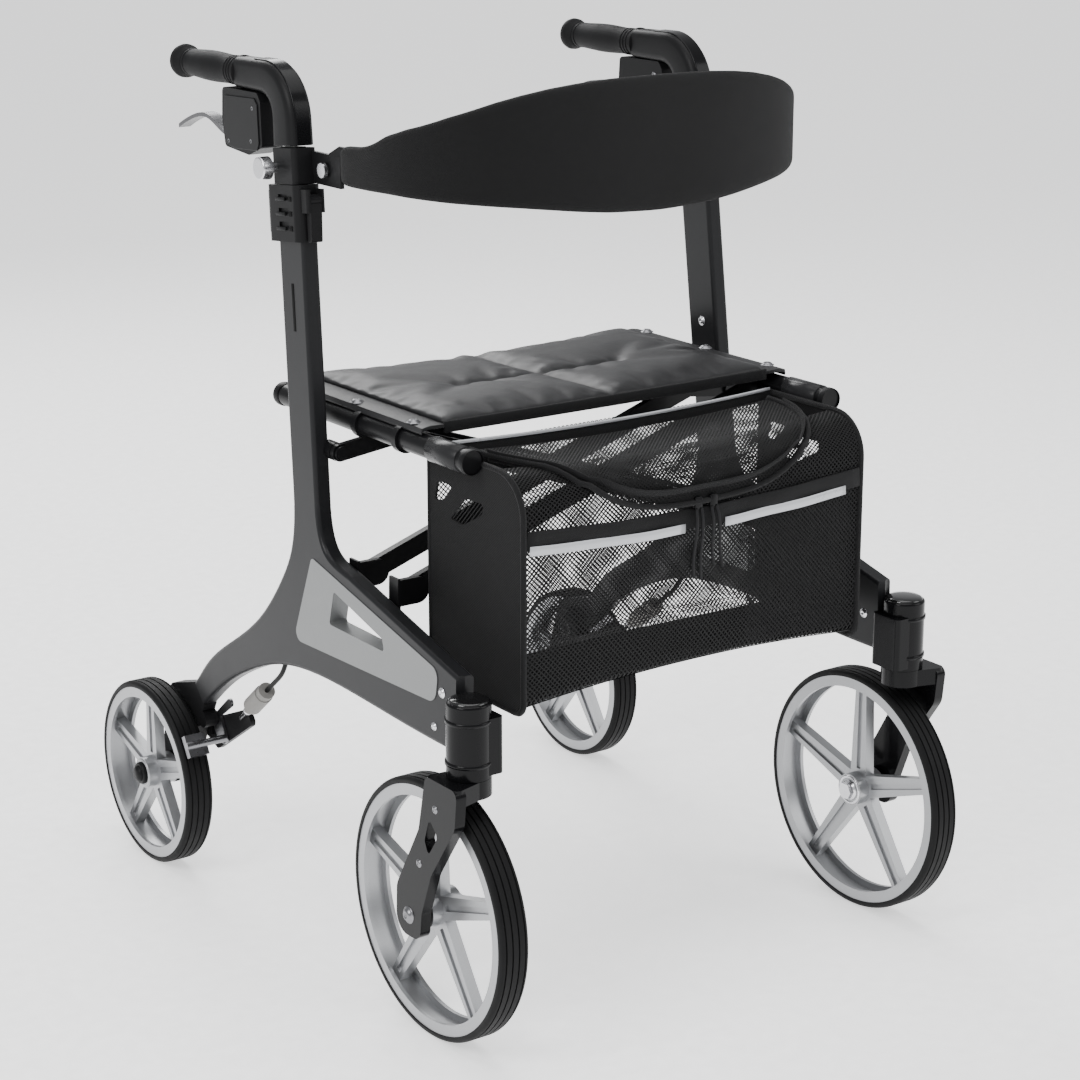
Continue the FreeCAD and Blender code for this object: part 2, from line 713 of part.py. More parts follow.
def lever_housing():
    """Housing under the front of the grip, slotted for the lever."""
    x = side_x(LEVER_Z)
    top = GRIP_Z - GRIP_R - 0.6
    body = slab_yz(
        [
            (134, top, 5),
            (136, 824, 8),
            (131, 796, 5),
            (84, 792, 6),
            (58, 802, 6),
            (60, top - 8, 4),
            (66, top, 4),
        ],
        x - HOUSING_WIDE / 2,
        x + HOUSING_WIDE / 2,
    )
    slot = slab_yz([(92, 838, 3), (145, 850, 0), (145, 790, 0), (92, 800, 3)], x - LEVER_WIDE / 2 - 0.4, x + LEVER_WIDE / 2 + 0.4)
    pin = rod_x(LEVER_PIN_R, x - LEVER_WIDE / 2 - 2, x + LEVER_WIDE / 2 + 2, LEVER_Y, LEVER_Z)
    return body.cut(slot).fuse(pin).removeSplitter()


def brake_lever():
    """Wavy lever blade with its hub."""
    x = side_x(LEVER_Z)
    wave = Part.BSplineCurve()
    wave.interpolate([V(0, LEVER_Y, LEVER_Z), V(0, 148, 811), V(0, 178, 822), V(0, 208, 818), V(0, LEVER_END, 806)])
    top = wave.toShape()
    under = top.copy()
    under.translate(V(0, 0, -LEVER_THICK))
    ends = [(top.Vertexes[0].Point, under.Vertexes[0].Point), (top.Vertexes[-1].Point, under.Vertexes[-1].Point)]
    caps = [Part.LineSegment(a, b).toShape() for a, b in ends]
    outline = Part.Wire(Part.__sortEdges__([top, under] + caps))
    blade = Part.Face(outline).extrude(V(LEVER_WIDE, 0, 0))
    blade.translate(V(x - LEVER_WIDE / 2, 0, 0))
    hub = rod_x(7.0, x - LEVER_WIDE / 2, x + LEVER_WIDE / 2, LEVER_Y, LEVER_Z)
    bore = rod_x(LEVER_PIN_R + RUN_FIT, x - 20, x + 20, LEVER_Y, LEVER_Z)
    return blade.fuse(hub).cut(bore).removeSplitter()


def strap_button():
    """Release button through the backrest plate."""
    low = COLLAR_TOP + 3
    inner = side_x(low) - BLOCK_WIDE / 2 + 1
    y = -30.0
    z = low + STRAP_HEIGHT / 2
    stem = rod_x(3.0, inner - 1, inner + STRAP_THICK + 3, y, z)
    head = rod_x(7.0, inner + STRAP_THICK + 2.4, inner + STRAP_THICK + 6.4, y, z)
    return stem.fuse(head)


def strap_hole():
    low = COLLAR_TOP + 3
    inner = side_x(low) - BLOCK_WIDE / 2 + 1
    return rod_x(3.0 + RUN_FIT, inner - 2, inner + STRAP_THICK + 2, -30.0, low + STRAP_HEIGHT / 2)


# ---- cross bars, rails and links ---------------------------------------
BAR_A_Y = [BAR_REAR_Y, BAR_REAR_Y - BAR_SPACING]
BAR_B_Y = [y + BAR_THICK + BAR_GAP for y in BAR_A_Y]


def cross_bars(y_list):
    """Two flat bars from the right lower pivots to the left rail."""
    length = math.hypot(PIVOT_X + RAIL_X, RAIL_Z - PIVOT_Z)
    turn = math.degrees(math.atan2(RAIL_Z - PIVOT_Z, PIVOT_X + RAIL_X))
    centre = length * PIVOT_X / (PIVOT_X + RAIL_X)
    half = BAR_WIDE / 2
    bars = []
    for y in y_list:
        strip = slab_xz([(0, -half, 0), (length, -half, 0), (length, half, 0), (0, half, 0)], y, y + BAR_THICK)
        bar = strip.fuse([rod_y(half, 0, y, y + BAR_THICK, 0), rod_y(EYE_R, length, y, y + BAR_THICK, 0)])
        for x, radius in ((0, BAR_PIN_R), (centre, BAR_PIN_R), (length, RAIL_R)):
            bar = bar.cut(rod_y(radius + RUN_FIT, x, y - 1, y + BAR_THICK + 1, 0))
        bar = bar.removeSplitter()
        bar.rotate(V(0, 0, 0), Y_AXIS, -turn)
        bar.translate(V(-PIVOT_X, 0, PIVOT_Z))
        bars.append(bar)
    return bars


def centre_pins():
    """Headed pins where each pair of bars crosses."""
    height = PIVOT_Z + (RAIL_Z - PIVOT_Z) * PIVOT_X / (PIVOT_X + RAIL_X)
    pins = []
    for y in BAR_A_Y:
        end = y + 2 * BAR_THICK + BAR_GAP
        pin = rod_y(BAR_PIN_R, 0, y - 0.4, end + 0.4, height)
        pins.append(pin.fuse([rod_y(9.0, 0, y - 4, y - 0.3, height), rod_y(9.0, 0, end + 0.3, end + 4, height)]))
    return pins


def frame_lugs(side, y_bars, outward):
    """Lugs on the frame: one with a pin for each cross bar, and one for the link."""
    lugs = [link_lug()]
    wall = side_x(PIVOT_Z) - FRAME_THICK / 2
    for y in y_bars:
        near = y - BAR_GAP if outward < 0 else y + BAR_THICK + BAR_GAP
        far = near + outward * LUG_THICK
        other = y + BAR_THICK if outward < 0 else y
        cheek = rod_y(13.0, PIVOT_X, near, far, PIVOT_Z)
        foot = block(PIVOT_X, wall + 1.5, near, far, PIVOT_Z - 13, PIVOT_Z + 13)
        pad = block(wall - 4, wall + 1.5, near, far + outward * 10, PIVOT_Z - 18, PIVOT_Z + 18)
        pin = rod_y(BAR_PIN_R, PIVOT_X, far, other, PIVOT_Z)
        lugs.append(cheek.fuse([foot, pad, pin]).cut(frame_body(TRIM_PROUD + SEAT_GAP)).removeSplitter())
    return for_side(Part.makeCompound(lugs), side)


def frame_body(extra):
    """The frame's slab, grown by a gap, for cutting what sits against it."""
    slab = block(POST_X - FRAME_THICK / 2 - extra, POST_X + 40, -290, 200, 250, POST_TOP)
    return leaned(slab)


def seat_rail():
    """Seat tube with closed end caps."""
    tube = rod_y(RAIL_R, RAIL_X, RAIL_FRONT, RAIL_BACK, RAIL_Z)
    tube = tube.cut(rod_y(RAIL_R - RAIL_WALL, RAIL_X, RAIL_FRONT - 1, RAIL_BACK + 1, RAIL_Z))
    caps = []
    for y, way in ((RAIL_FRONT, -1), (RAIL_BACK, 1)):
        plug = rod_y(RAIL_R - RAIL_WALL - SEAT_GAP, RAIL_X, y + way * 0.1, y - way * 14, RAIL_Z)
        caps.append(plug.fuse(rod_y(RAIL_CAP_R, RAIL_X, y + way * 0.1, y + way * 7, RAIL_Z)))
    return tube, caps


LINK_Y = BAR_B_Y[0] + BAR_THICK + BAR_GAP


def link_inner_z():
    rise = (RAIL_Z - PIVOT_Z) / (PIVOT_X + RAIL_X)
    return PIVOT_Z + (PIVOT_X + LINK_INNER_X) * rise


def fold_link():
    """Flat link from the post's lug towards the cross bar; its inner end is the open pivot."""
    run = LINK_X - LINK_INNER_X
    drop = link_inner_z() - LINK_Z
    length = math.hypot(run, drop)
    half = LINK_WIDE / 2
    strip = slab_xz([(0, -half, 0), (length, -half, 0), (length, half, 0), (0, half, 0)], LINK_Y, LINK_Y + LINK_THICK)
    ends = [rod_y(half, 0, LINK_Y, LINK_Y + LINK_THICK, 0), rod_y(half, length, LINK_Y, LINK_Y + LINK_THICK, 0)]
    link = strip.fuse(ends).cut(rod_y(4.0 + RUN_FIT, 0, LINK_Y - 1, LINK_Y + LINK_THICK + 1, 0))
    link = link.removeSplitter()
    link.rotate(V(0, 0, 0), Y_AXIS, 180 - math.degrees(math.atan2(drop, run)))
    link.translate(V(LINK_X, 0, LINK_Z))
    return link


def link_lug():
    """Lug on the post's front face with the link's pin."""
    front = post_y(LINK_Z) - POST_DEPTH / 2
    base = LINK_Y + LINK_THICK + BAR_GAP
    lug = rod_y(9.0, LINK_X, base, front + 6, LINK_Z)
    pin = rod_y(4.0, LINK_X, LINK_Y - 0.5, base + 1, LINK_Z)
    head = rod_y(7.0, LINK_X, LINK_Y - 3.5, LINK_Y - 0.4, LINK_Z)
    return lug.fuse([pin, head]).cut(SIDE_FRAME).removeSplitter()


# ---- soft parts --------------------------------------------------------
def seat_pad():
    base = RAIL_Z + EYE_R + SOFT_GAP
    pad = slab_xy(
        [
            (-SEAT_HALF, SEAT_FRONT, 10),
            (SEAT_HALF, SEAT_FRONT, 10),
            (SEAT_HALF, SEAT_BACK, 10),
            (-SEAT_HALF, SEAT_BACK, 10),
        ],
        base,
        base + SEAT_THICK,
    )
    return pad


def bag_half():
    return RAIL_X - RAIL_CAP_R - SOFT_GAP


def bag_body():
    """Bag between the rails: rounded at its upper front, open under the lid."""
    half = bag_half()
    mouth_front = BAG_FRONT + BAG_CORNER
    outline = [
        (BAG_BACK, BAG_BOTTOM, 12),
        (BAG_BACK, BAG_TOP, 0),
        (mouth_front, BAG_TOP, BAG_CORNER / 2),
        (BAG_FRONT, BAG_TOP - BAG_CORNER, BAG_CORNER / 2),
        (BAG_FRONT, BAG_BOTTOM, 12),
    ]
    inner = [
        (BAG_BACK - BAG_WALL, BAG_BOTTOM + BAG_WALL, 9),
        (BAG_BACK - BAG_WALL, BAG_TOP - BAG_WALL, 0),
        (BAG_FRONT + BAG_CORNER + 2, BAG_TOP - BAG_WALL, 0),
        (BAG_FRONT + BAG_WALL, BAG_TOP - BAG_CORNER - BAG_WALL / 2, 9),
        (BAG_FRONT + BAG_WALL, BAG_BOTTOM + BAG_WALL, 9),
    ]
    shell = slab_yz(outline, -half, half)
    shell = shell.cut(slab_yz(inner, -half + BAG_WALL, half - BAG_WALL))
    shell = shell.cut(
        block(
            -half + BAG_HEM,
            half - BAG_HEM,
            mouth_front + BAG_HEM,
            LID_HINGE_Y - BAG_HEM,
            BAG_TOP - 2 * BAG_WALL,
            BAG_TOP + 1,
        )
    )
    hems = [
        block(side * half, side * (half - BAG_WALL), mouth_front, BAG_BACK, BAG_TOP, RAIL_Z)
        for side in (-1, 1)
    ]
    return shell.fuse(hems).removeSplitter()


def bag_lid():
    """Zipped lid, hinged along the rear."""
    half = bag_half() - BAG_WALL - SOFT_GAP
    front = BAG_FRONT + BAG_CORNER
    return slab_xy(
        [(-half, front, 12), (half, front, 12), (half, LID_HINGE_Y, 3), (-half, LID_HINGE_Y, 3)],
        BAG_TOP + SOFT_GAP,
        BAG_TOP + SOFT_GAP + LID_THICK,
    )


def backrest():
    """Padded band that bows forward between the two backrest plates."""
    start = STRAP_FRONT - SOFT_GAP

    def bow(half, depth):
        points = []
        for i in range(25):
            angle = math.pi * i / 24
            c = math.cos(angle)
            reach = abs(c) ** BAND_POWER
            x = half * math.copysign(reach, c)
            points.append(V(x, start - depth * math.sin(angle) ** BAND_POWER, BAND_BOTTOM))
        curve = Part.BSplineCurve()
        curve.interpolate(points)
        return curve.toShape()

    outer = bow(BAND_HALF, BAND_DEPTH)
    inner = bow(BAND_HALF - BAND_THICK, BAND_DEPTH - BAND_THICK)
    caps = [
        Part.LineSegment(outer.Vertexes[0].Point, inner.Vertexes[0].Point).toShape(),
        Part.LineSegment(outer.Vertexes[-1].Point, inner.Vertexes[-1].Point).toShape(),
    ]
    outline = Part.Wire(Part.__sortEdges__([outer, inner] + caps))
    return Part.Face(outline).extrude(V(0, 0, BAND_TOP - BAND_BOTTOM))


# ---- build -------------------------------------------------------------
SIDE_FRAME = side_frame()
RAIL_TUBE, RAIL_CAPS = seat_rail()

FRONT_TYRE = placed(tyre(FRONT_WHEEL_R), FRONT_WHEEL_X, FRONT_AXLE_Y, FRONT_WHEEL_R)
FRONT_RIM = placed(rim(FRONT_WHEEL_R), FRONT_WHEEL_X, FRONT_AXLE_Y, FRONT_WHEEL_R)
REAR_TYRE = placed(tyre(REAR_WHEEL_R), REAR_WHEEL_X, REAR_AXLE_Y, REAR_WHEEL_R)
REAR_RIM = placed(rim(REAR_WHEEL_R), REAR_WHEEL_X, REAR_AXLE_Y, REAR_WHEEL_R)

PAIRED = {
    "side_frame": SIDE_FRAME,
    "frame_trim": frame_trim(),
    "head_tube": head_tube(),
    "fork": fork(),
    "front_axle": front_axle(),
    "front_rim": FRONT_RIM,
    "front_tyre": FRONT_TYRE,
    "wheel_arm": wheel_arm(),
    "rear_axle": rear_axle(),
    "rear_rim": REAR_RIM,
    "rear_tyre": REAR_TYRE,
    "brake_arm": brake_arm(),
    "cable_adjuster": cable_adjuster(),
    "brake_cable": brake_cable(),
    "collar": collar(),
    "clamp_lever": clamp_lever(),
    "handle_stem": handle_stem(),
    "handle_neck": handle_neck(),
    "handle_block": handle_block().cut(strap_hole()),
    "thumb_knob": thumb_knob(),
    "grip": grip(),
    "lever_housing": lever_housing(),
    "brake_lever": brake_lever(),
    "strap_button": strap_button(),
    "seat_rail": Part.makeCompound([RAIL_TUBE] + RAIL_CAPS),
    "fold_link": fold_link(),
}

for side, word in ((-1, "right"), (1, "left")):
    for name, shape in PAIRED.items():
        write(word + "_" + name, for_side(shape, side))

write("right_frame_lugs", frame_lugs(-1, BAR_A_Y, -1))
write("left_frame_lugs", frame_lugs(1, BAR_B_Y, 1))

CROSS_A = cross_bars(BAR_A_Y)
CROSS_B = cross_bars(BAR_B_Y)
write("cross_bar_a", Part.makeCompound(CROSS_A + centre_pins()))
write("cross_bar_b", Part.makeCompound(CROSS_B).mirror(V(0, 0, 0), X_AXIS))
write("seat_pad", seat_pad())
write("bag_body", bag_body())
write("bag_lid", bag_lid())
write("backrest_band", backrest())
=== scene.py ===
"""Rollator walker: finishes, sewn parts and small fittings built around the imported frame."""

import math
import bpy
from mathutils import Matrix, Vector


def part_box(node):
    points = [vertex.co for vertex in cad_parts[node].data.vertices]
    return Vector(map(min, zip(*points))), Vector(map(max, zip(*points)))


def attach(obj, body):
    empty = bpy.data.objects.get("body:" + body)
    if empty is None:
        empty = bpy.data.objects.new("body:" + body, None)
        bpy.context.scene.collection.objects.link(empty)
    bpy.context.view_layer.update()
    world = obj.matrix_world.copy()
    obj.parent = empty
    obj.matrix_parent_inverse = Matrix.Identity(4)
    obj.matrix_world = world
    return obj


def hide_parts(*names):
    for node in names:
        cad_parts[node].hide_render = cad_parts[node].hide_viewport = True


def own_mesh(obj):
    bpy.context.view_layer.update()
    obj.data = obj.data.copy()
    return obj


bl_info = {
    "name": "Rollator walker",
    "version": (1, 0, 0),
    "blender": (4, 5, 0),
    "location": "3D View > Sidebar > Walker",
    "description": "Builds the walker's seat, bag, backrest, grips and small fittings",
    "category": "Add Mesh",
}

import bmesh
import bpy
from bpy.props import FloatProperty, FloatVectorProperty, IntProperty, PointerProperty
from mathutils import Matrix, Vector

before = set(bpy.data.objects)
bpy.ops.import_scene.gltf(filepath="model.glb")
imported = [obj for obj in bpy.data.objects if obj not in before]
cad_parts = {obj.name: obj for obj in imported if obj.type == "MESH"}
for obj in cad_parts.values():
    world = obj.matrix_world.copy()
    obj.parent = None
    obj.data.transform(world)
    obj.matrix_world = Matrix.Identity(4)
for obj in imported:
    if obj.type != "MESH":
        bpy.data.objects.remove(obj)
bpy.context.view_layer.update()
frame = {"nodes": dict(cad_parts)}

# Metres. +X is the walker's left and +Y its rear; places are given on the left side.
SIDES = (("right", -1), ("left", 1))
LEAN = math.radians(1.49)  # of each side, inwards
POST_BACK = math.radians(5.7)  # of each post, to the rear
POST_REF = Vector((0.2492, -0.00435, 0.580))  # middle of the post at one height
RAIL_X = 0.215
RAIL_Z = 0.547
STEER_X, STEER_Y = 0.2646, -0.306
FRONT_Y, FRONT_Z = -0.253, 0.1275  # front axle
REAR_X, REAR_Y, REAR_Z = 0.2843, 0.2795, 0.101  # rear wheel's middle
HUB_HALF = 0.017
GRIP_START, GRIP_Z = 0.110, 0.869
UP, REARWARD, OUTWARD, INWARD = (0, 0, 1), (0, 1, 0), (1, 0, 0), (-1, 0, 0)


# ---- placing ------------------------------------------------------------
def side_x(z):
    """Middle of the leaning side at a height z."""
    return POST_REF.x - (z - POST_REF.z) * math.tan(LEAN)


def post_frame(side):
    """Axes of the leaning post: X across, Y to the rear, Z up the post."""
    lean = Matrix.Rotation(-LEAN, 4, "Y")
    back = Matrix.Rotation(-POST_BACK, 4, "X")
    pivot = Matrix.Translation((POST_REF.x, 0, POST_REF.z))
    base = pivot @ lean @ Matrix.Translation((0, POST_REF.y, 0)) @ back
    return mirror_for(side) @ base


def mirror_for(side):
    return Matrix.Scale(side, 4, (1, 0, 0))


def up_post(z):
    return (z - POST_REF.z) / math.cos(POST_BACK)


def facing(origin, axis):
    """Frame at origin with +Z along axis."""
    quat = Vector(axis).to_track_quat("Z", "Y")
    return Matrix.Translation(origin) @ quat.to_matrix().to_4x4()


# ---- mesh helpers -------------------------------------------------------
def flat_points(pairs):
    """Pairs of coordinates as points of the XY plane."""
    return [Vector((a, b, 0)) for a, b in pairs]


def loop_from(bm, points):
    """Closed loop of edges through the points; returns its vertices and edges."""
    verts = [bm.verts.new(p) for p in points]
    edges = [bm.edges.new((verts[i - 1], v)) for i, v in enumerate(verts)]
    return verts, edges


def rounded_outline(width, depth, radius, steps=5):
    """Corner-rounded rectangle in the XY plane, counter-clockwise."""
    points = []
    for cx, cy, start in ((1, 1, 0), (-1, 1, 90), (-1, -1, 180), (1, -1, 270)):
        for i in range(steps + 1):
            a = math.radians(start + 90 * i / steps)
            x = cx * (width / 2 - radius) + radius * math.cos(a)
            y = cy * (depth / 2 - radius) + radius * math.sin(a)
            points.append(Vector((x, y, 0)))
    return points


def sweep(bm, outline, stations):
    """Extrudes an outline from station to station and caps both ends."""
    verts, edges = loop_from(bm, outline)
    first = list(edges)
    bmesh.ops.transform(bm, matrix=stations[0], verts=verts)
    for before, after in zip(stations, stations[1:]):
        made = bmesh.ops.extrude_edge_only(bm, edges=edges)["geom"]
        verts = [g for g in made if isinstance(g, bmesh.types.BMVert)]
        edges = [e for e in made if isinstance(e, bmesh.types.BMEdge) and all(v in verts for v in e.verts)]
        bmesh.ops.transform(bm, matrix=after @ before.inverted(), verts=verts)
    bmesh.ops.contextual_create(bm, geom=first)
    bmesh.ops.contextual_create(bm, geom=edges)


def lathe(bm, profile, where, steps=32):
    """Spins a profile of (radius, height) pairs about the +Z of a frame."""
    verts = [bm.verts.new((max(r, 1e-5), 0, h)) for r, h in profile]
    edges = [bm.edges.new(pair) for pair in zip(verts, verts[1:])]
    around = {"cent": (0, 0, 0), "axis": UP, "angle": math.tau, "steps": steps}
    bmesh.ops.spin(bm, geom=verts + edges, use_merge=True, **around)
    found = dict.fromkeys(verts)
    stack = list(verts)
    while stack:
        for edge in stack.pop().link_edges:
            for v in edge.verts:
                if v not in found:
                    found[v] = None
                    stack.append(v)
    bmesh.ops.transform(bm, matrix=where, verts=list(found))
    bmesh.ops.remove_doubles(bm, verts=list(found), dist=2e-5)


def rounded_edges(bm, edges, width, **options):
    shape = {"offset": width, "segments": 2, "affect": "EDGES", "profile": 0.5, "material": -1}
    return bmesh.ops.bevel(bm, geom=edges, **shape, **options)


def slab(bm, outline, where, thick, bevel=0.0):
    """Flat plate from an outline, thick along +Z of a frame."""
    verts, edges = loop_from(bm, outline)
    face = bmesh.ops.contextual_create(bm, geom=edges)["faces"]
    made = bmesh.ops.extrude_face_region(bm, geom=face)["geom"]
    top = [g for g in made if isinstance(g, bmesh.types.BMVert)]
    bmesh.ops.translate(bm, vec=(0, 0, thick), verts=top)
    every = verts + top
    if bevel:
        own = [e for e in bm.edges if all(v in every for v in e.verts)]
        rim = [e for e in own if abs(e.verts[0].co.z - e.verts[1].co.z) < 1e-6]
        cut = rounded_edges(bm, rim, bevel, clamp_overlap=True)["faces"]
        every = list(dict.fromkeys([v for f in cut for v in f.verts] + [v for v in every if v.is_valid]))
    bmesh.ops.transform(bm, matrix=where, verts=every)


def piece(name, bm, finish, body, slot, replaces=(), flat=False, fold=None):
    """Turns a bmesh into a finished object that rides on a body."""
    bmesh.ops.recalc_face_normals(bm, faces=bm.faces)
    mesh = bpy.data.meshes.new(name)
    bm.to_mesh(mesh)
    bm.free()
    ob = bpy.data.objects.new(name, mesh)
    bpy.context.scene.collection.objects.link(ob)
    mesh.materials.append(FINISHES[finish])
    for face in mesh.polygons:
        face.use_smooth = not flat
    if body:
        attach(ob, body)
    if replaces:
        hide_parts(*replaces)
    if fold:
        fold_flat(ob)
    return ob


def soften(ob, width=0.0008, segments=2, angle=35):
    """Rounded edges and clean shading on a hard piece."""
    bevel = ob.modifiers.new("Rounded edges", "BEVEL")
    bevel.width = width
    bevel.segments = segments
    bevel.limit_method = "ANGLE"
    bevel.angle_limit = math.radians(angle)
    bevel.harden_normals = True


def subdivide(ob):
    mod = ob.modifiers.new("Subdivision", "SUBSURF")
    mod.levels = 1
    mod.render_levels = 1


def fold_flat(ob):
    """Gives a sewn piece its own copy of its mesh."""
    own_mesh(ob)


# ---- finishes -----------------------------------------------------------
def node_group(name, inputs, outputs):
    group = bpy.data.node_groups.new(name, "ShaderNodeTree")
    for label, kind, value in inputs:
        socket = group.interface.new_socket(name=label, in_out="INPUT", socket_type=kind)
        socket.default_value = value
    for label, kind in outputs:
        group.interface.new_socket(name=label, in_out="OUTPUT", socket_type=kind)
    return group, group.nodes.new("NodeGroupInput"), group.nodes.new("NodeGroupOutput")


def math_node(tree, operation, *values):
    node = tree.nodes.new("ShaderNodeMath")
    node.operation = operation
    for i, value in enumerate(values):
        if isinstance(value, (int, float)):
            node.inputs[i].default_value = value
        else:
            tree.links.new(value, node.inputs[i])
    return node.outputs[0]


def noise_node(tree, coords, scale, detail=3.0, rough=0.5):
    node = tree.nodes.new("ShaderNodeTexNoise")
    node.inputs["Detail"].default_value = detail
    node.inputs["Roughness"].default_value = rough
    if isinstance(scale, (int, float)):
        node.inputs["Scale"].default_value = scale
    else:
        tree.links.new(scale, node.inputs["Scale"])
    tree.links.new(coords, node.inputs["Vector"])
    return node.outputs["Fac"]


def shade_colour(tree, colour, factor):
    """Colour made lighter and darker by a factor around 1."""
    node = tree.nodes.new("ShaderNodeVectorMath")
    node.operation = "SCALE"
    tree.links.new(colour, node.inputs[0])
    tree.links.new(factor, node.inputs["Scale"])
    return node.outputs[0]


def build_moulded_grain():
    """Moulded or painted surface: soft mottling, fine grain and worn patches."""
    group, inp, out = node_group(
        "Moulded grain",
        [
            ("Colour", "NodeSocketColor", (0.1, 0.1, 0.1, 1)),
            ("Mottle", "NodeSocketFloat", 0.15),
            ("Grain Size", "NodeSocketFloat", 900.0),
            ("Roughness", "NodeSocketFloat", 0.45),
            ("Wear", "NodeSocketFloat", 0.1),
        ],
        [("Colour", "NodeSocketColor"), ("Roughness", "NodeSocketFloat"), ("Height", "NodeSocketFloat")],
    )
    coords = group.nodes.new("ShaderNodeTexCoord").outputs["Object"]
    broad = noise_node(group, coords, 9.0, 5.0, 0.6)
    scuff = noise_node(group, coords, 70.0, 4.0, 0.7)
    fine = noise_node(group, coords, inp.outputs["Grain Size"], 2.0)
    swing = math_node(group, "MULTIPLY", math_node(group, "SUBTRACT", broad, 0.5), inp.outputs["Mottle"])
    speck = math_node(group, "MULTIPLY", math_node(group, "SUBTRACT", fine, 0.5), 0.25)
    factor = math_node(group, "ADD", math_node(group, "ADD", swing, speck), 1.0)
    group.links.new(shade_colour(group, inp.outputs["Colour"], factor), out.inputs["Colour"])
    worn = math_node(group, "MULTIPLY", math_node(group, "SUBTRACT", scuff, 0.5), inp.outputs["Wear"])
    rough = math_node(group, "ADD", math_node(group, "ADD", inp.outputs["Roughness"], worn), swing)
    group.links.new(math_node(group, "MAXIMUM", rough, 0.05), out.inputs["Roughness"])
    group.links.new(fine, out.inputs["Height"])
    return group


def thread_angles(group, coords, scale, first=(1, 1, 1), second=(1, -0.6, -1.6)):
    """Two thread directions that cross on faces turned any way."""
    angles = []
    for direction in (first, second):
        dot = group.nodes.new("ShaderNodeVectorMath")
        dot.operation = "DOT_PRODUCT"
        dot.inputs[1].default_value = direction
        group.links.new(coords, dot.inputs[0])
        angles.append(math_node(group, "MULTIPLY", dot.outputs["Value"], scale))
    return angles


def build_woven_cloth():
    """Tight weave with thread relief and uneven dye."""
    group, inp, out = node_group(
        "Woven cloth",
        [
            ("Colour", "NodeSocketColor", (0.03, 0.03, 0.03, 1)),
            ("Threads", "NodeSocketFloat", 4000.0),
            ("Contrast", "NodeSocketFloat", 0.5),
        ],
        [("Colour", "NodeSocketColor"), ("Height", "NodeSocketFloat")],
    )
    coords = group.nodes.new("ShaderNodeTexCoord").outputs["Object"]
    u, v = thread_angles(group, coords, inp.outputs["Threads"])
    weave = math_node(group, "MULTIPLY", math_node(group, "SINE", u), math_node(group, "SINE", v))
    broad = noise_node(group, coords, 14.0, 5.0, 0.6)
    uneven = math_node(group, "ADD", weave, math_node(group, "SUBTRACT", broad, 0.5))
    dye = math_node(group, "MULTIPLY", uneven, inp.outputs["Contrast"])
    shade = shade_colour(group, inp.outputs["Colour"], math_node(group, "ADD", dye, 1.0))
    group.links.new(shade, out.inputs["Colour"])
    group.links.new(weave, out.inputs["Height"])
    return group


def build_open_mesh():
    """Net of round-cornered holes: a mask that is 1 on the threads."""
    group, inp, out = node_group(
        "Open mesh",
        [("Pitch", "NodeSocketFloat", 900.0), ("Thread", "NodeSocketFloat", 0.72)],
        [("Mask", "NodeSocketFloat"), ("Height", "NodeSocketFloat")],
    )
    coords = group.nodes.new("ShaderNodeTexCoord").outputs["Object"]
    u, v = thread_angles(group, coords, inp.outputs["Pitch"], second=(1, -1, -1))
    a = math_node(group, "ABSOLUTE", math_node(group, "SINE", u))
    b = math_node(group, "ABSOLUTE", math_node(group, "SINE", v))
    high = math_node(group, "MAXIMUM", a, b)
    group.links.new(math_node(group, "GREATER_THAN", high, inp.outputs["Thread"]), out.inputs["Mask"])
    group.links.new(high, out.inputs["Height"])
    return group


GROUPS = {}
FINISHES = {}


def new_finish(name, metallic=0.0, coat=0.0, sheen=0.0, bump=0.0001, gloss=0.2):
    """Material with its shader and a bump node ready for a pattern."""
    mat = bpy.data.materials.new(name)
    mat.use_nodes = True
    tree = mat.node_tree
    shader = tree.nodes["Principled BSDF"]
    shader.inputs["Metallic"].default_value = metallic
    shader.inputs["Coat Weight"].default_value = coat
    shader.inputs["Coat Roughness"].default_value = 0.12
    shader.inputs["Specular IOR Level"].default_value = gloss
    shader.inputs["Sheen Weight"].default_value = sheen
    shader.inputs["Sheen Roughness"].default_value = 0.5
    relief = tree.nodes.new("ShaderNodeBump")
    relief.inputs["Distance"].default_value = bump
    relief.inputs["Strength"].default_value = 0.6
    tree.links.new(relief.outputs[0], shader.inputs["Normal"])
    FINISHES[name] = mat
    return tree, shader, relief


def use_group(tree, name, values):
    node = tree.nodes.new("ShaderNodeGroup")
    node.node_tree = GROUPS[name]
    for label, value in values.items():
        node.inputs[label].default_value = value
    return node


def moulded(name, colour, roughness, mottle=0.12, grain=900.0, wear=0.12, gloss=0.12, **options):
    """Plastic, rubber, paint or bare metal."""
    tree, shader, relief = new_finish(name, gloss=gloss, **options)
    values = {"Mottle": mottle, "Grain Size": grain, "Roughness": roughness, "Wear": wear}
    skin = use_group(tree, "Moulded grain", {"Colour": (*colour, 1), **values})
    tree.links.new(skin.outputs["Colour"], shader.inputs["Base Color"])
    tree.links.new(skin.outputs["Roughness"], shader.inputs["Roughness"])
    tree.links.new(skin.outputs["Height"], relief.inputs["Height"])


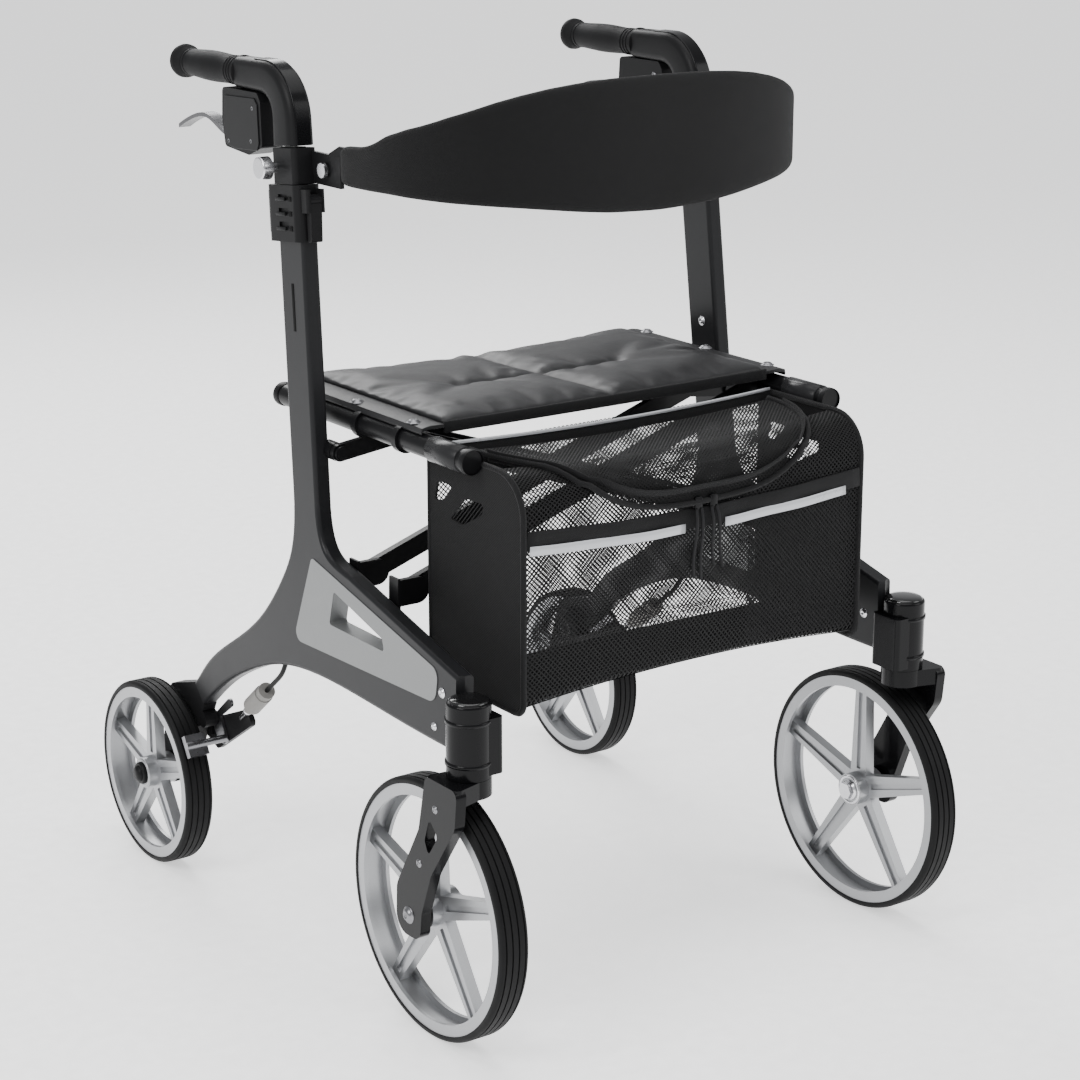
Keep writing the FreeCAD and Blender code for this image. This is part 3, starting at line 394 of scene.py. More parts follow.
def woven(name, colour, threads, contrast=0.4, roughness=0.75, sheen=0.05, mesh_pitch=0.0, thread=0.72):
    """Sewn cloth; with a mesh pitch it becomes an open net."""
    tree, shader, relief = new_finish(name, sheen=sheen, bump=0.0003)
    cloth = use_group(tree, "Woven cloth", {"Colour": (*colour, 1), "Threads": threads, "Contrast": contrast})
    tree.links.new(cloth.outputs["Colour"], shader.inputs["Base Color"])
    shader.inputs["Roughness"].default_value = roughness
    tree.links.new(cloth.outputs["Height"], relief.inputs["Height"])
    if mesh_pitch:
        net = use_group(tree, "Open mesh", {"Pitch": mesh_pitch, "Thread": thread})
        tree.links.new(net.outputs["Mask"], shader.inputs["Alpha"])


# Finish -> frame nodes, without their side
NODES_BY_FINISH = {
    "frame paint": ("side_frame",),
    "silver trim": ("frame_trim",),
    "gloss black": ("head_tube", "fork", "handle_neck"),
    "bright metal": ("front_axle", "thumb_knob", "strap_button"),
    "rim silver": ("front_rim", "rear_rim"),
    "tyre rubber": ("front_tyre", "rear_tyre"),
    "black moulding": ("wheel_arm", "rear_axle", "collar", "clamp_lever", "handle_block", "lever_housing"),
    "dark metal": ("brake_arm",),
    "grey moulding": ("cable_adjuster",),
    "cable sleeve": ("brake_cable",),
    "satin black": ("handle_stem", "seat_rail", "fold_link", "frame_lugs", "cross_bar_a", "cross_bar_b"),
    "grip rubber": ("grip",),
    "lever grey": ("brake_lever",),
    "seat vinyl": ("seat_pad",),
    "bag cloth": ("bag_body", "bag_lid"),
    "band cloth": ("backrest_band",),
}


# ---- settings -----------------------------------------------------------
def amount(name, description, default, high, **kind):
    return FloatProperty(name=name, description=description, default=default, min=0, max=high, **kind)


def length(name, description, default):
    return amount(name, description, default, 1.0, subtype="DISTANCE", unit="LENGTH")


def position(name, description, default):
    unit = {"subtype": "DISTANCE", "unit": "LENGTH"}
    return FloatProperty(name=name, description=description, default=default, **unit)


def tint(name, description, default):
    limits = {"min": 0, "max": 1, "size": 3}
    return FloatVectorProperty(name=name, description=description, default=default, subtype="COLOR", **limits)


class WalkerFinishSettings(bpy.types.PropertyGroup):
    frame: tint("Frame", "Paint of the two side frames", (0.012, 0.0122, 0.0132))
    trim: tint("Trim", "Silver-grey trim in the front legs", (0.2, 0.205, 0.205))
    rims: tint("Rims", "Satin silver of the wheel rims", (0.36, 0.365, 0.375))
    vinyl: tint("Seat vinyl", "Grained vinyl of the seat", (0.009, 0.009, 0.0098))
    cloth: tint("Cloth", "Black cloth of bag and backrest", (0.0045, 0.0045, 0.0048))
    stripe: tint("Stripe", "Reflective tape on the bag", (0.5, 0.51, 0.53))


class WalkerSeatSettings(bpy.types.PropertyGroup):
    length_across: length("Width", "Seat width between the outer edges of its hems", 0.442)
    front: position("Front edge", "Front edge of the seat", -0.168)
    back: position("Rear edge", "Rear edge of the seat", 0.085)
    sag: length("Sag", "How far the middle hangs below the rails' top", 0.006)
    hem: length("Hem", "Width of the flat hems over the rails", 0.026)
    fill: amount("Fill", "Pressure that puffs the padding", 3.0, 20.0)


class WalkerBandSettings(bpy.types.PropertyGroup):
    middle_height: length("Middle height", "Height of the band over its middle", 0.126)
    end_height: length("End height", "Height of the band where it meets the plates", 0.046)
    thickness: length("Thickness", "Thickness of the padding", 0.013)


class WalkerBagSettings(bpy.types.PropertyGroup):
    half_width: length("Half width", "Half of the bag's width", 0.2025)
    front: position("Front", "Front of the bag", -0.303)
    back: position("Back", "Back of the bag", -0.150)
    bottom: length("Bottom", "Height of the bag's bottom edge", 0.322)
    top: length("Top", "Height of the bag's upper edge", 0.540)
    sag: length("Sag", "How far the net hangs down in the middle", 0.012)
    stripe_width: length("Stripe width", "Width of the reflective stripe", 0.009)


class WalkerGripSettings(bpy.types.PropertyGroup):
    radius: length("Radius", "Largest radius of the grips", 0.0155)
    rings: IntProperty(name="Rings", description="Grooves near each end of a grip", default=3, min=0, max=8)


class WalkerStageSettings(bpy.types.PropertyGroup):
    floor: tint("Floor", "Pale floor and backdrop", (0.9, 0.9, 0.9))
    floor_glow: amount("Floor glow", "Even light that keeps the floor pale far out", 1.0, 2.0)
    light: amount("Light", "Strength of the soft lights", 1.0, 10.0)


# ---- operators ----------------------------------------------------------
class WALKER_OT_finishes(bpy.types.Operator):
    """Make every finish and put it on the frame's pieces"""

    bl_idname = "walker.finishes"
    bl_label = "Finishes"

    def execute(self, context):
        s = context.scene.walker_finishes
        GROUPS["Moulded grain"] = build_moulded_grain()
        GROUPS["Woven cloth"] = build_woven_cloth()
        GROUPS["Open mesh"] = build_open_mesh()
        moulded("frame paint", s.frame, 0.32, mottle=0.1, grain=1600, coat=0.03, bump=0.00004, gloss=0.16)
        moulded("silver trim", s.trim, 0.38, mottle=0.1, grain=1500, metallic=0.35, bump=0.00004, gloss=0.3)
        moulded(
            "gloss black", (0.004, 0.004, 0.0045), 0.2, mottle=0.06, grain=700, wear=0.06,
            coat=0.08, bump=0.00002, gloss=0.1
        )
        moulded("black moulding", (0.0075, 0.0075, 0.008), 0.42, grain=1300, bump=0.00008)
        moulded("satin black", (0.005, 0.005, 0.0055), 0.34, mottle=0.08, coat=0.06, bump=0.00003)
        moulded("grey moulding", (0.2, 0.195, 0.185), 0.5, mottle=0.15, grain=1200)
        moulded("lever grey", (0.11, 0.11, 0.115), 0.35, mottle=0.1, grain=1100, metallic=0.6)
        moulded(
            "bright metal", (0.68, 0.68, 0.7), 0.24, mottle=0.08, grain=500, wear=0.2,
            metallic=1.0, bump=0.00002
        )
        moulded(
            "rim silver", s.rims, 0.33, mottle=0.05, grain=1400, wear=0.08, metallic=0.7,
            bump=0.00003, gloss=0.4
        )
        moulded("tyre rubber", (0.007, 0.007, 0.0073), 0.55, mottle=0.25, grain=800, wear=0.25)
        moulded("grip rubber", (0.0065, 0.0065, 0.007), 0.62, mottle=0.15, grain=1500, wear=0.15, bump=0.0002)
        moulded("cable sleeve", (0.006, 0.006, 0.006), 0.4, mottle=0.1)
        moulded("seat vinyl", s.vinyl, 0.46, mottle=0.14, grain=1100, wear=0.15, gloss=0.3)
        moulded("reflective tape", s.stripe, 0.3, mottle=0.15, grain=2500, metallic=0.3, bump=0.00006)
        moulded(
            "dark metal", (0.22, 0.22, 0.23), 0.3, mottle=0.1, grain=600, wear=0.15, metallic=1.0,
            bump=0.00002
        )
        # The near-black of this finish is painted shade: it goes on thin plates that stand in for the dark
        # inside of the post's slots.
        moulded("painted slot shade", (0.003, 0.003, 0.003), 0.7, mottle=0.1)
        moulded(
            "cap gloss", (0.008, 0.008, 0.0085), 0.12, mottle=0.05, grain=400, wear=0.04,
            metallic=0.3, coat=0.5, bump=0.00001, gloss=0.4
        )
        moulded("sleeve grey", (0.02, 0.02, 0.021), 0.26)
        moulded("pull tab", (0.014, 0.014, 0.015), 0.5, mottle=0.2, grain=1800, wear=0.2, bump=0.00015)
        woven("band cloth", s.cloth, 5200, contrast=0.35, roughness=0.92, sheen=0.06)
        woven("bag cloth", s.cloth, 4200, contrast=0.6, roughness=0.85, sheen=0.04)
        woven("bag net", s.cloth, 2600, mesh_pitch=620.0, thread=0.85)
        woven("close net", s.cloth, 2600, mesh_pitch=900.0, thread=0.62)
        woven("lid net", s.cloth, 2600, mesh_pitch=700.0, thread=0.74)
        woven("side net", s.cloth, 2600, contrast=0.3, mesh_pitch=620.0, thread=0.92)
        woven("binding", (0.005, 0.005, 0.0055), 5200, contrast=0.5)
        finish_of = {node: finish for finish, nodes in NODES_BY_FINISH.items() for node in nodes}
        for name, ob in frame["nodes"].items():
            ending = name.split("_", 1)[1] if name.startswith(("right_", "left_")) else name
            ob.data.materials.clear()
            ob.data.materials.append(FINISHES[finish_of[ending]])
        return {"FINISHED"}


CAMERA_PLACE = (-1.5146, -2.183, 1.155)
CAMERA_BACK = Vector((-0.555, -0.784, 0.280))
CAMERA_RIGHT = Vector((0.816, -0.578, 0.0))
FLOOR_REACH = 30
LAMPS = (
    # name, place, size, power
    ("Key", (-2.6, -0.6, 2.4), 1.5, 62),
    ("Fill", (2.2, -2.2, 2.0), 1.8, 30),
    ("Rim", (0.6, 2.6, 2.2), 1.5, 50),
    ("Top", (0.0, -0.2, 3.2), 2.6, 60),
)


class WALKER_OT_stage(bpy.types.Operator):
    """Set the floor, the soft lights and the camera"""

    bl_idname = "walker.stage"
    bl_label = "Stage"

    def execute(self, context):
        s = context.scene.walker_stage
        scene = context.scene
        camera = bpy.data.objects.new("Camera", bpy.data.cameras.new("Camera"))
        scene.collection.objects.link(camera)
        back = CAMERA_BACK.normalized()
        right = (CAMERA_RIGHT - CAMERA_RIGHT.dot(back) * back).normalized()
        turn = Matrix((right, back.cross(right), back)).transposed().to_4x4()
        camera.matrix_world = Matrix.Translation(CAMERA_PLACE) @ turn
        camera.data.lens = 88.64
        camera.data.sensor_width = 36
        scene.camera = camera

        bm = bmesh.new()
        corners = [(FLOOR_REACH * x, FLOOR_REACH * y) for x, y in ((-1, -1), (1, -1), (1, 1), (-1, 1))]
        bmesh.ops.contextual_create(bm, geom=loop_from(bm, flat_points(corners))[1])
        mesh = bpy.data.meshes.new("Floor")
        bm.to_mesh(mesh)
        bm.free()
        floor = bpy.data.objects.new("Floor", mesh)
        scene.collection.objects.link(floor)
        tree, shader, _ = new_finish("floor")
        values = {"Mottle": 0.02, "Grain Size": 60.0, "Roughness": 0.85, "Wear": 0.02}
        paper = use_group(tree, "Moulded grain", {"Colour": (*s.floor, 1), **values})
        tree.links.new(paper.outputs["Colour"], shader.inputs["Base Color"])
        tree.links.new(paper.outputs["Roughness"], shader.inputs["Roughness"])
        shader.inputs["Emission Color"].default_value = (*s.floor, 1)
        shader.inputs["Emission Strength"].default_value = s.floor_glow
        mesh.materials.append(FINISHES["floor"])

        world = bpy.data.worlds.new("Studio")
        world.use_nodes = True
        sky = world.node_tree.nodes["Background"].inputs
        sky["Color"].default_value = (0.97, 0.98, 1.0, 1)
        sky["Strength"].default_value = 0.6 * s.light
        scene.world = world
        centre = Vector((0, 0, 0.45))
        for name, place, size, power in LAMPS:
            lamp = bpy.data.lights.new(name, "AREA")
            lamp.size = size
            lamp.energy = power * s.light
            ob = bpy.data.objects.new(name, lamp)
            ob.location = place
            ob.rotation_euler = (centre - Vector(place)).to_track_quat("-Z", "Y").to_euler()
            scene.collection.objects.link(ob)
        return {"FINISHED"}


# ---- sewn pieces --------------------------------------------------------
def shown_mesh(ob):
    """Mesh of an object with its modifiers, as plain data."""
    graph = bpy.context.evaluated_depsgraph_get()
    return bpy.data.meshes.new_from_object(ob.evaluated_get(graph))


def bake_modifiers(ob):
    mesh = shown_mesh(ob)
    ob.modifiers.clear()
    ob.data = mesh
    for face in mesh.polygons:
        face.use_smooth = True


def puff(ob, held, pressure, cap, voxel=0.005, steps=20, slack=0.03):
    """Fills a sewn cover: an even mesh is blown up by cloth pressure between its held seams."""
    if voxel:
        remesh = ob.modifiers.new("Even mesh", "REMESH")
        remesh.mode = "VOXEL"
        remesh.voxel_size = voxel
        bake_modifiers(ob)
    group = ob.vertex_groups.new(name="held")
    for v in ob.data.vertices:
        weight = held(v.co)
        if weight > 0:
            group.add([v.index], min(weight, 1.0), "REPLACE")
    cloth = ob.modifiers.new("Padding", "CLOTH")
    cloth.settings.effector_weights.gravity = 0
    for key, value in {
        "quality": 5,
        "mass": 0.15,
        "tension_stiffness": 10,
        "compression_stiffness": 10,
        "bending_stiffness": 4.0,
        "use_pressure": True,
        "uniform_pressure_force": pressure,
        "vertex_group_mass": "held",
        "shrink_min": -slack,
    }.items():
        setattr(cloth.settings, key, value)
    cloth.point_cache.frame_start = 1
    cloth.point_cache.frame_end = steps
    scene = bpy.context.scene
    for step in range(1, steps + 1):
        scene.frame_set(step)
    shown = shown_mesh(ob)
    for v, target in zip(ob.data.vertices, shown.vertices):
        move = target.co - v.co
        if move.length > 1e-9:
            v.co += move.normalized() * cap * math.tanh(move.length / cap)
    bpy.data.meshes.remove(shown)
    ob.modifiers.clear()
    ob.vertex_groups.clear()
    scene.frame_set(1)


def near_segment(co, a, b):
    """Distance in plan from a point to a segment."""
    ab = Vector((b[0] - a[0], b[1] - a[1]))
    ap = Vector((co.x - a[0], co.y - a[1]))
    share = max(0.0, min(1.0, ap.dot(ab) / ab.length_squared))
    return (ap - ab * share).length


def tube(bm, path, radius, sides=8, up=(0, 0, 1)):
    """Round cord along a list of points."""
    turns = [math.tau * i / sides for i in range(sides)]
    outline = flat_points((radius * math.cos(a), radius * math.sin(a)) for a in turns)
    sweep(bm, outline, path_frames(path, up))


def path_frames(path, up=(0, 0, 1)):
    """Frames along a path: Z runs on, X lies level, Y points up."""
    path = [Vector(p) for p in path]
    frames = []
    for i, p in enumerate(path):
        ahead = path[min(i + 1, len(path) - 1)] - path[max(i - 1, 0)]
        z = ahead.normalized()
        x = Vector(up).cross(z).normalized()
        y = z.cross(x)
        frames.append(Matrix.Translation(p) @ Matrix((x, y, z)).transposed().to_4x4())
    return frames


def ribbon(bm, path, width, thick, up=(0, 0, 1)):
    """Flat strip along a path, its width standing along up."""
    outline = rounded_outline(thick, width, min(thick, width) * 0.3, 1)
    sweep(bm, outline, path_frames(path, up))


def arc_points(centre, radius, start, end, steps):
    points = []
    for i in range(steps + 1):
        a = math.radians(start + (end - start) * i / steps)
        c, s = radius * math.cos(a), radius * math.sin(a)
        points.append((centre[0] + c, centre[1] + s))
    return points


SEAT_TUFTS = ((-0.096, -0.042), (0.096, -0.042))


def seam_pull(co, tufts, front, back):
    """How strongly the stitching holds the seat at a point: 1 on a seam or tuft."""
    pull = 0.0
    across = near_segment(co, tufts[0], tufts[1])
    middle = near_segment(co, (0, front), (0, back))
    for distance, reach in ((across, 0.004), (middle, 0.004)):
        pull = max(pull, 1 - distance / reach)
    for tuft in tufts:
        pull = max(pull, 1.2 - (Vector((co.x, co.y)) - Vector(tuft)).length / 0.009)
    return pull


class WALKER_OT_seat(bpy.types.Operator):
    """Make the padded seat, its hems and hem screws"""

    bl_idname = "walker.seat"
    bl_label = "Seat"

    def execute(self, context):
        s = context.scene.walker_seat
        low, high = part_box("seat_pad")
        half = s.length_across / 2
        inner = half - s.hem
        bm = bmesh.new()
        outline = rounded_outline(2 * inner, s.back - s.front - 0.01, 0.006, 3)
        slab(bm, outline, Matrix.Translation((0, (s.back + s.front) / 2, low[2] + 0.001)), 0.0075)
        pad = piece("seat_cushion", bm, "seat vinyl", None, "seat_vinyl")

        def held(co):
            rim = min(inner - abs(co.x), co.y - s.front - 0.004, s.back - 0.004 - co.y)
            return max(seam_pull(co, SEAT_TUFTS, s.front, s.back), 0.95 - max(rim, 0) / 0.004)

        puff(pad, held, s.fill, 0.007, 0.0045, slack=0.012)
        for v in pad.data.vertices:
            pull = max(0.0, min(1.0, seam_pull(v.co, SEAT_TUFTS, s.front, s.back)))
            upper = 1.0 if v.co.z > low[2] + 0.004 else -0.2
            v.co.z -= 0.0035 * pull * upper
            hang = max(0.0, 1 - (v.co.x / inner) ** 2)
            edge = 1 - 0.9 * max(0.0, min(1.0, (0.03 - v.co.y) / 0.16))
            v.co.z -= s.sag * hang * edge
        subdivide(pad)
        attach(pad, "right_rail")
        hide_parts("seat_pad")
        fold_flat(pad)

        bm = bmesh.new()
        for side in (-1, 1):
            section = [(inner - 0.004, 0.0), (inner + 0.006, -0.0004), (RAIL_X - 0.004, 0.0002)]
            section += [(RAIL_X + 0.004, -0.001), (half - 0.001, -0.0045), (half, -0.0025)]
            section += [(RAIL_X + 0.005, 0.0022), (RAIL_X - 0.004, 0.0036)]
            section += [(inner + 0.006, 0.0034), (inner - 0.004, 0.0028)]
            points = flat_points([(side * x, z) for x, z in section])
            rows = [s.front + 0.003 + (s.back - s.front - 0.006) * i / 12 for i in range(13)]
            upright = Matrix.Rotation(math.pi / 2, 4, "X")
            sweep(bm, points, [Matrix.Translation((0, y, low[2] + 0.0006)) @ upright for y in rows])
        hems = piece("seat_hems", bm, "seat vinyl", "right_rail", "seat_vinyl")
        soften(hems, 0.0006)
        fold_flat(hems)

        bm = bmesh.new()
        shares = [i / 20 for i in range(-20, 21)]
        for y, rise, sag, width in (
            (s.front + 0.004, 0.0005, s.sag * 0.1, 0.011),
            (s.back - 0.004, 0.001, s.sag, 0.009),
        ):
            path = [(share * inner, y, low[2] + rise - sag * (1 - share**2)) for share in shares]
            ribbon(bm, path, width, 0.0028)
        piece("seat_binding", bm, "binding", "right_rail", "seat_vinyl", fold=inner)

        for word, side in SIDES:
            bm = bmesh.new()
            for share in (0.1, 0.5, 0.9):
                y = s.front + (s.back - s.front) * share
                domed_screw(bm, facing((side * RAIL_X, y, low[2] + 0.0038), UP), 0.0062, 0.0032)
            piece(word + "_hem_screws", bm, "dark metal", word + "_rail", "bright_metal")
        return {"FINISHED"}


BAND_MIDDLE = 0.1185  # height of the shape below over its middle
BAND_SHAPE = (
    # share of half width, lower edge, upper edge
    (0.0, 0.7605, 0.8790),
    (0.24, 0.7620, 0.8790),
    (0.39, 0.7650, 0.8772),
    (0.51, 0.7680, 0.8742),
    (0.62, 0.7705, 0.8695),
    (0.71, 0.7722, 0.8640),
    (0.78, 0.7736, 0.8580),
    (0.85, 0.7748, 0.8515),
    (0.90, 0.7760, 0.8452),
    (0.946, 0.7772, 0.8388),
    (0.975, 0.7784, 0.8318),
    (1.0, 0.7786, 0.8160),
)


def band_edges(share):
    """Lower and upper edge of the backrest at a share of its half width."""
    for (a, low_a, high_a), (b, low_b, high_b) in zip(BAND_SHAPE, BAND_SHAPE[1:]):
        if share <= b:
            t = (share - a) / (b - a)
            return low_a + t * (low_b - low_a), high_a + t * (high_b - high_a)
    return BAND_SHAPE[-1][1:]


class WALKER_OT_backrest(bpy.types.Operator):
    """Make the padded backrest band and its end straps"""

    bl_idname = "walker.backrest"
    bl_label = "Backrest"

    def execute(self, context):
        s = context.scene.walker_band
        low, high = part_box("backrest_band")
        half = high[0]
        start = high[1]
        depth = start - low[1]
        thick = s.thickness
        scale = s.middle_height / BAND_MIDDLE
        path = []
        for i in range(73):
            angle = math.pi * i / 72
            reach = math.copysign(abs(math.cos(angle)) ** 0.7, math.cos(angle))
            y = start - (depth - thick / 2) * math.sin(angle) ** 0.7
            path.append(Vector(((half - thick / 2) * reach, y, 0)))
        stations = []
        for p, where in zip(path, path_frames(path)):
            bottom, top = band_edges(min(1.0, abs(p.x) / (half - thick / 2)))
            tall = (top - bottom) * (1 + (scale - 1) * (1 - abs(p.x) / half))
            middle = Matrix.Translation((0, 0, (top + bottom) / 2))
            stations.append(middle @ where @ Matrix.Scale(tall, 4, (0, 1, 0)))
        bm = bmesh.new()
        rows = [-0.5 + i / 16 for i in range(17)]
        rows[0:1] = [-0.5, -0.485]
        rows[-1:] = [0.485, 0.5]
        face = [(thick / 2 * (0.35 + 0.65 * min(1.0, (0.5 - abs(y)) / 0.05) ** 0.5), y) for y in rows]
        outline = flat_points(face + [(-x, y) for x, y in reversed(face)])
        sweep(bm, outline, stations)
        band = piece("backrest_cushion", bm, "band cloth", None, "band_fabric")

        def held(co):
            share = min(1.0, abs(co.x) / half)
            bottom, top = band_edges(share)
            rim = min(co.z - bottom, top - co.z)
            ends = 0.95 if co.y > start - 0.014 else 0.0
            return max(0.9 - max(rim, 0) / 0.012, ends)

        puff(band, held, 1.2, 0.0022, 0.0, slack=0.003)
        subdivide(band)
        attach(band, "right_handle")
        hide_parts("backrest_band")
        fold_flat(band)

        bm = bmesh.new()
        for side in (-1, 1):
            x = side * (half - thick / 2)
            z = sum(band_edges(1.0)) / 2
            path = [(x, start - 0.02, z), (x, start + 0.002, z), (side * 0.2345, start + 0.012, z - 0.006)]
            ribbon(bm, path, 0.034, 0.004)
        straps = piece("backrest_end_straps", bm, "black moulding", "right_handle", "band_fabric")
        soften(straps, 0.0008)
        fold_flat(straps)
        return {"FINISHED"}


# ---- bag ----------------------------------------------------------------
LID_HINGE_Y = -0.186
LID_LEVEL = 0.083  # from the hinge to where the front begins to round down
LID_CORNER = 0.034
BAG_CORNER = 0.012
def bag_profile(s, lift=0.0):
    """Side outline of the bag from the lid's hinge round the front to the rear rim, as (y, z)."""
    level = s.top + 0.002
    low, fore, aft = s.bottom + BAG_CORNER, s.front + BAG_CORNER, s.back - BAG_CORNER
    points = [(LID_HINGE_Y - LID_LEVEL * i / 6, level + lift) for i in range(6)]
    points += arc_points((s.front + LID_CORNER, level - LID_CORNER), LID_CORNER + lift, 90, 180, 8)
    high = s.top - LID_CORNER
    points += [(s.front - lift, high - (high - low) * i / 16) for i in range(1, 17)]
    points += arc_points((fore, low), BAG_CORNER + lift, 180, 270, 4)[1:]
    points += [(fore + (aft - fore) * i / 12, s.bottom - lift) for i in range(1, 13)]
    points += arc_points((aft, low), BAG_CORNER + lift, 270, 360, 4)[1:]
    points += [(s.back + lift, low + (s.top - low) * i / 16) for i in range(1, 17)]
    return points


def net_sag(s, co):
    """Where the loose net hangs to, away from the stiff side panels."""
    across = max(0.0, 1 - (co.x / s.half_width) ** 2)
    tall = (co.z - s.bottom) / (s.top - s.bottom)
    bow = math.sin(math.pi * min(1, max(0, tall)))
    out = co.copy()
    if co.y < s.front + 0.02:
        ripple = 0.0025 * math.sin(co.x * 62 + 3 * co.z * 40)
        out.y -= (0.006 + ripple) * bow * across * 0.7
    if tall < 0.12:
        out.z += 0.010 * across * (1 - max(0, tall) / 0.12) * (1.0 if co.y < s.front + 0.04 else 0.2)
    if tall > 0.95 and co.y < -0.18:
        out.z -= s.sag * across * 0.7
    if co.y > s.back - 0.01:
        out.y -= 0.006 * across * bow
    return out


def bag_sheet(name, finish, s, first, last, x0, x1, lift, columns=40):
    """Net stretched round a stretch of the bag's profile."""
    bm = bmesh.new()
    points = bag_profile(s, lift)[first:last]
    verts = [bm.verts.new((x0, y, z)) for y, z in points]
    edges = [bm.edges.new(pair) for pair in zip(verts, verts[1:])]
    for _ in range(columns):
        made = bmesh.ops.extrude_edge_only(bm, edges=edges)["geom"]
        verts = [g for g in made if isinstance(g, bmesh.types.BMVert)]
        edges = [e for e in made if isinstance(e, bmesh.types.BMEdge) and all(v in verts for v in e.verts)]
        bmesh.ops.translate(bm, vec=((x1 - x0) / columns, 0, 0), verts=verts)
    for v in bm.verts:
        v.co = net_sag(s, v.co)
    return piece(name, bm, finish, "right_rail", "bag_fabric", fold=s.half_width)


def stretched(s, first, last):
    """Turns a stretch of the bag's profile into points; nothing is kept."""
    points = [Vector(p) for p in bag_profile(s)[first:last]]


def lid_point(s, u, v, lift):
    """Point of the curved lid: u across from -1 to 1, v from the hinge to the zip."""
    reach = 0.152 * max(0.0, 1 - abs(u) ** 3.0) ** 0.55
    run = v * reach
    level = s.top + 0.002
    turn = LID_CORNER * math.pi / 2
    if run <= LID_LEVEL:
        y, z = LID_HINGE_Y - run, level + lift
    elif run <= LID_LEVEL + turn:
        a = math.pi / 2 + (run - LID_LEVEL) / LID_CORNER
        y = s.front + LID_CORNER + (LID_CORNER + lift) * math.cos(a)
        z = level - LID_CORNER + (LID_CORNER + lift) * math.sin(a)
    else:
        y, z = s.front - lift, level - LID_CORNER - (run - LID_LEVEL - turn)
    return net_sag(s, Vector((u * (s.half_width - 0.022), y, z)))


def blunted(points, cut):
    """Outline with each corner cut back twice, close to a round one."""
    for share in (cut, cut * 0.4):
        blunt = []
        for i, (y, z) in enumerate(points):
            for other in (points[i - 1], points[(i + 1) % len(points)]):
                away = Vector((other[0] - y, other[1] - z))
                away *= min(share / away.length, 0.3)
                blunt.append((y + away.x, z + away.y))
        points = blunt
    return points


